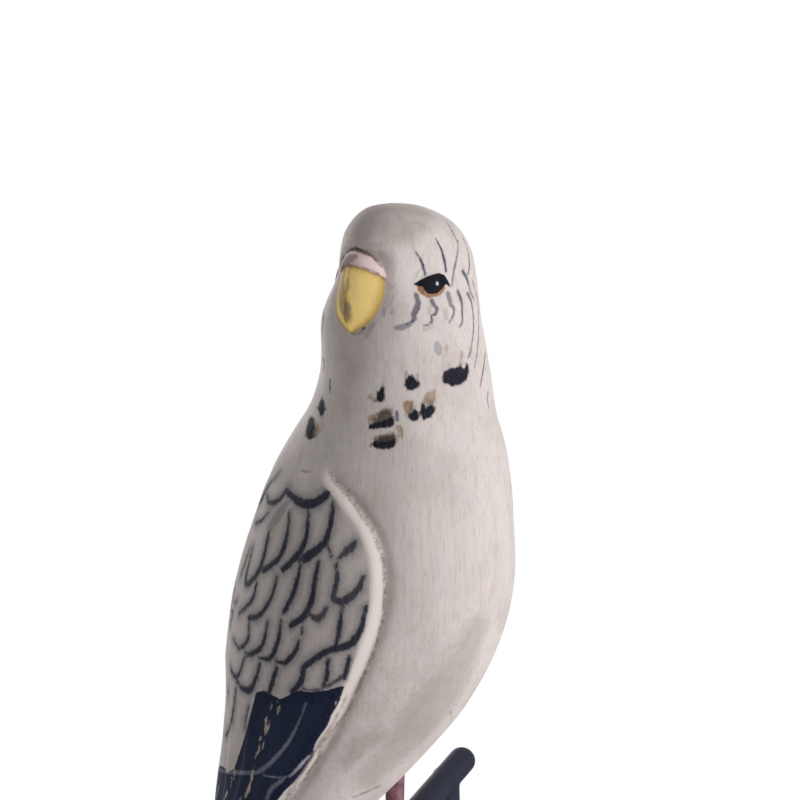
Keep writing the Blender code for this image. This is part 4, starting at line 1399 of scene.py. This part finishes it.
@dataclass(frozen=True)
class TurnedSteel:
    """Zinc-plated steel screw, turned: fine rings round its axis and a soft shine."""

    colour: str = "#bcbcbe"
    ring: float = 0.35
    roughness: float = 0.34

    def make(self, centre: Vector) -> bpy.types.Material:
        """Make the material with its rings, so many millimetres apart, round a centre."""
        values = {"Base Color": linear(self.colour), "Metallic": 1.0, "Roughness": self.roughness}
        material, shader = new_material("turned_steel", values)
        tree = material.node_tree
        offset = {"Vector": add_node(tree, "TexCoord")["Object"], "Location": (-centre.x, -centre.y, 0.0)}
        look = {
            "Vector": add_node(tree, "Mapping", offset)[0],
            "Scale": 1.0 / (self.ring * MM * 20.0),
            "Distortion": 0.3,
        }
        rings = add_node(tree, "TexWave", look, wave_type="RINGS", rings_direction="Z")["Fac"]
        bump = add_node(tree, "Bump", {"Strength": 0.3, "Distance": 0.03 * MM, "Height": rings})
        tree.links.new(bump[0], shader.inputs["Normal"])
        return material


def new_object(name: str, mesh: bpy.types.Mesh) -> bpy.types.Object:
    """Add an object at the origin for a mesh."""
    item = bpy.data.objects.new(name, mesh)
    bpy.context.scene.collection.objects.link(item)
    return item


def closed_surface(name: str, grid: Array, low: Array, high: Array, outward: bool) -> bpy.types.Object:
    """Make a closed mesh from a grid of rings and two poles.

    Args:
        name: the object's name.
        grid: rings of points in metres, from the low pole to the high one.
        low: the first pole.
        high: the last pole.
        outward: whether the rings run against the clock, seen from the high pole.

    Returns:
        The new object at the origin, shaded smooth.
    """
    rows, columns = grid.shape[:2]
    points = np.concatenate([grid.reshape(-1, 3), low[None], high[None]])
    row, ring = np.meshgrid(np.arange(rows) * columns, np.arange(columns), indexing="ij")
    near, after = row + ring, row + (ring + 1) % columns
    quads = np.stack([near[:-1], after[:-1], after[1:], near[1:]], axis=-1).reshape(-1, 4)
    bottom = np.stack([after[0], near[0], np.full(columns, rows * columns)], axis=1)
    top = np.stack([near[-1], after[-1], np.full(columns, rows * columns + 1)], axis=1)
    if not outward:
        quads, bottom, top = quads[:, ::-1], bottom[:, ::-1], top[:, ::-1]
    mesh = bpy.data.meshes.new(name)
    mesh.from_pydata(points.tolist(), [], quads.tolist() + bottom.tolist() + top.tolist())
    mesh.update()
    mesh.shade_smooth()
    return new_object(name, mesh)


def straight(start: Array, end: Array, count: int) -> Array:
    """Evenly spaced points on a straight line."""
    return start + np.linspace(0.0, 1.0, count)[:, None] * (end - start)


def swept(name: str, path: Array, radius: Callable[[Array, Array], Array], sides: int) -> bpy.types.Object:
    """Carry a profile along a path and close its ends.

    Each ring stands square to the path, and its radius is a function of the share along the path
    and the angle round it. The ring's zero direction is carried along without twist.

    Args:
        name: the object's name.
        path: points in metres.
        radius: the function of share and angle, in metres.
        sides: the number of points in a ring.

    Returns:
        The new closed object.
    """
    ahead = np.gradient(path, axis=0)
    ahead /= np.linalg.norm(ahead, axis=1, keepdims=True)
    side = np.zeros_like(path)
    side[0] = np.cross(ahead[0], np.eye(3)[int(np.argmin(np.abs(ahead[0])))])
    for k in range(len(path)):
        before = side[max(k - 1, 0)]
        side[k] = before - ahead[k] * (before @ ahead[k])
        side[k] /= np.linalg.norm(side[k])
    up = np.cross(ahead, side)
    steps = np.linalg.norm(np.diff(path, axis=0), axis=1)
    share = np.concatenate([[0.0], np.cumsum(steps)]) / steps.sum()
    angle = np.linspace(0.0, math.tau, sides, endpoint=False)
    reach = radius(share[:, None], angle[None, :])[..., None]
    spokes = side[:, None] * np.cos(angle)[None, :, None] + up[:, None] * np.sin(angle)[None, :, None]
    return closed_surface(name, path[:, None] + spokes * reach, path[0], path[-1], True)


def applied(name: str, rough: bpy.types.Object, used: Sequence[bpy.types.Object] = ()) -> bpy.types.Object:
    """Turn an object with modifiers into a plain one.

    Args:
        name: the new object's name.
        rough: the object, which is removed.
        used: other objects that are then removed too.

    Returns:
        The plain object, shaded smooth.
    """
    mesh = bpy.data.meshes.new_from_object(rough.evaluated_get(bpy.context.evaluated_depsgraph_get()))
    mesh.name = name
    mesh.shade_smooth()
    for item in (rough, *used):
        bpy.data.objects.remove(item, do_unlink=True)
    return new_object(name, mesh)


def fused(name: str, parts: list[bpy.types.Object], voxel: float, smoothing: int) -> bpy.types.Object:
    """Join closed parts into one skin.

    The parts are filled as one solid of small cubes, whose skin is drawn smooth.

    Args:
        name: the new object's name.
        parts: closed objects at the origin, which are removed.
        voxel: the cubes' size in metres.
        smoothing: how many times the skin is smoothed.

    Returns:
        One closed object.
    """
    with bpy.context.temp_override(
        active_object=parts[0], object=parts[0], selected_objects=parts, selected_editable_objects=parts
    ):
        bpy.ops.object.join()
    remesh = parts[0].modifiers.new("fill", "REMESH")
    remesh.mode = "VOXEL"
    remesh.voxel_size = voxel
    even = parts[0].modifiers.new("even", "SMOOTH")
    even.factor = 0.5
    even.iterations = smoothing
    return applied(name, parts[0])


def report(piece: bpy.types.Object) -> None:
    """Log one piece's name and size."""
    LOG.info("%s: %d faces", piece.name, len(piece.data.polygons))


def stand_for(piece: bpy.types.Object, node: str, material: bpy.types.Material) -> None:
    """Dress a new piece and let it stand for a solid of the frame.

    Args:
        piece: the new piece.
        node: the solid that it replaces.
        material: the finish.
    """
    piece.data.materials.clear()
    piece.data.materials.append(material)
    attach(piece, "root")
    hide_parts(node)
    report(piece)


@dataclass
class WoodenBird:
    """The carved and painted block of the bird."""

    camera: PhotoCamera
    finish: PaintedLimewood = PaintedLimewood()

    def build(self) -> None:
        """Carve the block, paint it and let it stand for its solid."""
        tail_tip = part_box("carved_body")[0][2] / MM
        block = CarvedBlock(tail_tip)
        painter = Painter(block, self.camera)
        painter.paint_unseen()
        for tint, marks in (
            (Tint.SLATE, wing_strokes()),
            (Tint.LINE, head_strokes()),
            (Tint.UMBER, umber_patches()),
            (Tint.SPOT, spot_patches() + spot_and_shade_strokes()),
            (Tint.TAN, tan_patches() + tan_strokes()),
            (Tint.FLECK, fleck_strokes()),
            (Tint.PINK, pink_strokes()),
            (Tint.PAINTED_BEAK_SHADE, painted_beak_shade_strokes()),
            (Tint.SOIL_AND_SHADE, soil_and_shade_strokes()),
            (Tint.RIM, rim_strokes()),
            (Tint.FROST, frost_strokes()),
            (Tint.WAX_AND_SHADE, wax_and_shade_strokes()),
            (Tint.SMEAR, smear_strokes()),
        ):
            painter.paint(tint, marks)
        painter.follow_carving()
        low, high = (
            np.array([section[3], section[4], tail_tip + section[0]]) * MM
            for section in (block.sections[0], block.sections[-1])
        )
        piece = closed_surface("painted_bird", block.points * MM, low, high, False)
        for name, values in block.marks.items():
            flat = values.reshape(-1)
            store = piece.data.attributes.new(name, "FLOAT", "POINT")
            store.data.foreach_set("value", np.concatenate([flat, [flat[0], flat[-1]]]).astype(np.float32))
        stand_for(piece, "carved_body", self.finish.make())


@dataclass
class Twig:
    """The forked metal twig: a slanting bar with round ends on an upright stem. Millimetres."""

    bar_diameter: float = 5.3
    low_end: float = -23.0
    high_end: float = 35.2
    bar_y: float = 0.5
    slope: float = 18.6
    above_tail_tip: float = 63.5
    left_foot_x: float = 11.2
    stem_x: float = 28.9
    stem_top: float = 5.4
    stem_foot: float = 8.6
    gap: float = 0.3
    finish: BrushedEnamel = BrushedEnamel("slate_enamel", "#1e2135", "#181a29", 2.5, 0.65)

    def axis(self, x: float) -> Array:
        """A point on the bar's axis, in metres."""
        rise = (x - self.left_foot_x) * math.tan(math.radians(self.slope))
        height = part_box("carved_body")[0][2] / MM + self.above_tail_tip + rise
        return np.array([x, self.bar_y, height]) * MM

    def directions(self) -> tuple[Array, Array]:
        """The direction along the bar, and the one square to it and up."""
        slope = math.radians(self.slope)
        along = np.array([math.cos(slope), 0.0, math.sin(slope)])
        return along, np.array([-along[2], 0.0, along[0]])

    def bar(self) -> bpy.types.Object:
        """The bar: a rod with half-ball ends and low knuckles, as on a real twig."""
        radius = self.bar_diameter / 2 * MM
        along = self.directions()[0] * radius
        start, end = self.axis(self.low_end) - along, self.axis(self.high_end) + along
        length = float(np.linalg.norm(end - start))

        def reach(share: Array, angle: Array) -> Array:
            """The radius: the ends' half balls, two knuckles and a low ripple round the rod."""
            knuckle = 0.035 * hill((share - 0.2) / 0.03) + 0.03 * hill((share - 0.62) / 0.025)
            ripple = 0.012 * np.sin(angle * 3.0 + share * 9.0)
            end_share = dome(np.minimum(share, 1.0 - share) * length / radius)
            return radius * end_share * (0.985 + knuckle + ripple)

        return swept("bar", straight(start, end, 220), reach, 40)

    def stem(self) -> bpy.types.Object:
        """The stem: a cone from the foot plate up to the bar."""
        foot = np.array([self.stem_x * MM, self.bar_y * MM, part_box("base_plate")[1][2] + self.gap * MM])
        top = self.axis(self.stem_x) + np.array([0.0, 0.0, self.stem_top / 2 * MM])
        length = float(top[2] - foot[2])
        low, high = self.stem_foot / 2 * MM, self.stem_top / 2 * MM

        def reach(share: Array, angle: Array) -> Array:
            """The radius: a cone with a half ball at its top, one knuckle and a low ripple."""
            ripple = 0.012 * np.sin(angle * 3.0 + share * 7.0) + 0.02 * hill((share - 0.55) / 0.04)
            return (low + (high - low) * share) * dome((1.0 - share) * length / high) * (0.988 + ripple)

        return swept("stem", straight(foot, top, 220), reach, 48)

    def build(self) -> None:
        """Fuse the bar and the stem, and let them stand for their solid."""
        piece = fused("forked_twig", [self.bar(), self.stem()], 0.35 * MM, 4)
        stand_for(piece, "twig_perch", self.finish.make())


@dataclass
class Legs:
    """The two metal legs with their toes curled round the bar. Lengths in millimetres."""

    twig: Twig
    leg_x: tuple[float, float] = (11.2, -10.2)
    socket_y: tuple[float, float] = (0.9, 12.0)
    nodes: tuple[str, str] = ("left_leg", "right_leg")
    socket_top: float = 87.0
    leg: float = 3.5
    ankle: float = 3.9
    toe: float = 2.1
    claw: float = 0.7
    scale: float = 1.3
    spread: float = 2.7
    wrap: float = 112.0
    gap: float = 0.3
    finish: BrushedEnamel = BrushedEnamel("rose_enamel", "#91666d", "#5c3c40", 1.6, 0.5)

    def shank(self, x: float, socket_y: float) -> bpy.types.Object:
        """The upright rod, with low rings of scales and a swollen ankle."""
        lift = self.twig.bar_diameter / 2 + self.gap + self.ankle / 2
        ankle = self.twig.axis(x) + self.twig.directions()[1] * lift * MM
        top = np.array([x * MM, socket_y * MM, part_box("carved_body")[0][2] + self.socket_top * MM])
        start = ankle - (top - ankle) / np.linalg.norm(top - ankle) * self.ankle / 2 * MM
        length = float(np.linalg.norm(top - start))
        low, high = self.ankle / 2 * MM, self.leg / 2 * MM

        def reach(share: Array, angle: Array) -> Array:
            """The radius: the ankle's half ball, the rod, and scales on its front half."""
            body = low + (high - low) * ease(0.08, 0.2, share)
            front = np.maximum(np.cos(angle), 0.0) ** 0.5
            scale = 0.05 * np.abs(np.sin(share * length / (self.scale * MM) * math.pi)) - 0.03
            return body * dome(share * length / low) * (1.0 + scale * front)

        return swept("shank", straight(start, top, 260), reach, 36)

    def toe_at(self, x: float, forward: float, aside: float) -> bpy.types.Object:
        """One toe with its joints and claw, curled round the bar.

        Args:
            x: where its foot stands on the bar.
            forward: 1 for a front toe, -1 for a rear one.
            aside: how far the toe spreads along the bar.

        Returns:
            The closed toe.
        """
        along, up = self.twig.directions()
        away = (self.twig.bar_diameter / 2 + self.gap + self.toe / 2) * MM
        share = np.linspace(0.0, 1.0, 90)
        turn = math.radians(self.wrap) * share[:, None]
        out = 0.25 + 0.75 * np.sin(0.5 * math.pi * np.minimum(share * 1.6, 1.0))
        path = self.twig.axis(x) + (up * np.cos(turn) + np.array([0.0, -forward, 0.0]) * np.sin(turn)) * away
        path = path + along * (aside * MM * out)[:, None]
        thick, thin = self.toe / 2 * MM, self.claw / 2 * MM

        def reach(place: Array, angle: Array) -> Array:
            """The radius: joints along the toe, a thin claw and closed ends."""
            claw = np.clip((place - 0.7) / 0.3, 0.0, 1.0)
            joint = 1.0 + 0.05 * np.cos(place * math.tau * 4.0) * (1.0 - claw)
            ends = np.clip(place / 0.06, 1e-6, 1.0) * np.clip((1.0 - place) / 0.02, 1e-6, 1.0)
            return (thick * (1.0 - claw) + thin * claw) * joint * np.sqrt(ends) + 0.0 * angle

        return swept("toe", path, reach, 20)

    def build(self) -> None:
        """Fuse each leg with its toes, and let it stand for its solid."""
        material = self.finish.make()
        for x, socket_y, node in zip(self.leg_x, self.socket_y, self.nodes):
            parts = [self.shank(x, socket_y)]
            for forward in (1.0, -1.0):
                for aside in (self.spread / 2, -self.spread / 2):
                    parts.append(self.toe_at(x, forward, aside))
            stand_for(fused(f"rose_{node}", parts, 0.2 * MM, 2), node, material)


@dataclass
class FootPlate:
    """The round foot plate with its broken edges and the countersunk hole for its screw."""

    thickness: float = 5.0
    diameter: float = 90.0
    edge: float = 0.8
    gap: float = 0.3
    head: float = 7.6
    neck: float = 4.0
    head_height: float = 2.2
    middle_ring: float = 6.0
    finish: BrushedEnamel = BrushedEnamel("plate_enamel", "#1e2135", "#181a29", 6.0, 0.65)

    def turned(self, name: str, profile: Array, centre: Array, sides: int) -> bpy.types.Object:
        """Turn a profile round an upright axis.

        Args:
            name: the object's name.
            profile: rows of radius and height in millimetres, from the bottom up.
            centre: the axis's x and y in metres.
            sides: the number of points in a ring.

        Returns:
            The closed object.
        """
        angle = np.linspace(0.0, math.tau, sides, endpoint=False)
        plan = profile[:, 0, None, None] * np.stack([np.cos(angle), np.sin(angle)], axis=-1) * MM + centre
        height = np.broadcast_to(profile[:, 1, None, None] * MM, (*plan.shape[:2], 1))
        low, high = (np.append(centre, profile[k, 1] * MM) for k in (0, -1))
        return closed_surface(name, np.concatenate([plan, height], axis=-1), low, high, True)

    def build(self) -> None:
        """Turn the plate, cut its hole and let it stand for its solid."""
        rim = self.diameter / 2
        turn = np.linspace(0.0, math.pi / 2, 7)
        low = np.stack([rim - self.edge + self.edge * np.sin(turn), self.edge - self.edge * np.cos(turn)], 1)
        high = np.stack([low[::-1, 0], self.thickness - low[::-1, 1]], axis=1)
        flats = np.linspace(self.middle_ring, rim - self.edge - 0.2, 8)
        bottom = np.stack([flats, np.zeros(8)], axis=1)
        top = np.stack([flats[::-1], np.full(8, self.thickness)], axis=1)
        profile = np.concatenate([bottom, low, high, top])
        plate = self.turned("turned_plate", profile, np.zeros(2), 160)
        screw = np.mean([corner[:2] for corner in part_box("base_screw")], axis=0)
        wide, narrow = self.head / 2 + self.gap, self.neck / 2 + self.gap
        seat = self.gap + self.head_height
        hole = [(wide, -self.thickness), (wide, self.gap), (narrow, seat), (narrow, 2 * self.thickness)]
        cutter = self.turned("hole", np.array(hole), screw, 48)
        cut = plate.modifiers.new("hole", "BOOLEAN")
        cut.operation = "DIFFERENCE"
        cut.object = cutter
        piece = applied("foot_plate", plate, [cutter])
        piece.data.set_sharp_from_angle(angle=math.radians(35.0))
        stand_for(piece, "base_plate", self.finish.make())


@dataclass
class Studio:
    """A plain pale floor, soft lamps and a white background.

    A lamp's row is its name, where it stands along the camera's right, up and back directions, how
    far away it is and how wide, in metres, and its watts.
    """

    camera: PhotoCamera
    lamps: tuple[tuple[str, tuple[float, float, float], float, float, float], ...] = (
        ("key", (0.86, -0.02, 0.5), 0.9, 0.45, 6.4),
        ("sky", (0.0, 1.0, 0.0), 1.0, 0.9, 2.4),
        ("side", (-0.5, 0.1, -0.86), 1.0, 0.8, 9.0),
    )
    aim: tuple[float, float, float] = (0.0, 0.0, 0.12)
    ambient: float = 0.26
    floor_radius: float = 3.0
    shadow_radius: float = 0.28

    def light(self) -> None:
        """Add the square lamps, which look at the figurine."""
        for name, toward, distance, size, watts in self.lamps:
            light = bpy.data.lights.new(name, "AREA")
            light.energy = watts
            light.size = size
            lamp = bpy.data.objects.new(name, light)
            unit = Vector(np.array(toward) @ np.array(self.camera.axes())).normalized()
            lamp.location = Vector(self.aim) + unit * distance
            lamp.rotation_euler = unit.to_track_quat("Z", "Y").to_euler()
            bpy.context.scene.collection.objects.link(lamp)

    def floor(self) -> None:
        """Add the floor: white paper near the figurine, plain white further away."""
        angle = np.linspace(0.0, math.tau, 96, endpoint=False)
        ring = np.stack([np.cos(angle), np.sin(angle), np.zeros(96)], axis=1) * self.floor_radius
        mesh = bpy.data.meshes.new("paper_floor")
        mesh.from_pydata(ring.tolist(), [], [list(range(96))])
        material, shader = new_material("white_paper", {"Base Color": linear("#ececec"), "Roughness": 0.9})
        tree = material.node_tree
        place = add_node(tree, "TexCoord")["Object"]
        away = add_node(tree, "VectorMath", {0: place}, operation="LENGTH")["Value"]
        span = {"Value": away, "From Min": self.shadow_radius * 0.5, "From Max": self.shadow_radius}
        far = add_node(tree, "MapRange", span, interpolation_type="SMOOTHSTEP")[0]
        seen = add_node(tree, "LightPath")["Is Camera Ray"]
        share = add_node(tree, "Math", {0: far, 1: seen}, operation="MULTIPLY")[0]
        white = add_node(tree, "Emission", {"Color": (1.0, 1.0, 1.0, 1.0), "Strength": 1.0})[0]
        mixed = add_node(tree, "MixShader", {0: share, 1: shader.outputs[0], 2: white})[0]
        tree.links.new(mixed, tree.nodes["Material Output"].inputs["Surface"])
        mesh.materials.append(material)
        floor = new_object("paper_floor", mesh)

    def world(self) -> None:
        """Give the world a dim white light, and plain white where the camera sees it."""
        world = bpy.data.worlds.new("studio")
        world.use_nodes = True
        tree = world.node_tree
        path = add_node(tree, "LightPath")
        seen = path["Is Camera Ray"]
        for ray in ("Is Glossy Ray", "Is Transmission Ray"):
            seen = add_node(tree, "Math", {0: seen, 1: path[ray]}, operation="MAXIMUM")[0]
        strength = add_node(tree, "MapRange", {"Value": seen, "To Min": self.ambient, "To Max": 1.0})[0]
        background = tree.nodes["Background"]
        background.inputs["Color"].default_value = (1.0, 1.0, 1.0, 1.0)
        tree.links.new(strength, background.inputs["Strength"])
        bpy.context.scene.world = world

    def build(self) -> None:
        """Place the camera, the lamps, the floor and the world."""
        self.camera.place()
        self.light()
        self.floor()
        self.world()
        bpy.context.scene.view_settings.view_transform = "Standard"


def dress_screw(frame: dict) -> None:
    """Give the screw's own solid its steel."""
    screw = frame["nodes"]["base_screw"]
    low, high = (Vector(corner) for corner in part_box("base_screw"))
    material = TurnedSteel().make((low + high) / 2)
    for slot in screw.material_slots:
        slot.material = material
    report(screw)


def main() -> None:
    """Build every piece around the frame, in order."""
    logging.basicConfig(level=logging.INFO, format="%(name)s: %(message)s")
    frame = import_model()
    camera = PhotoCamera()
    Studio(camera).build()
    WoodenBird(camera).build()
    twig = Twig()
    twig.build()
    Legs(twig).build()
    FootPlate().build()
    dress_screw(frame)


if __name__ == "__main__":
    main()
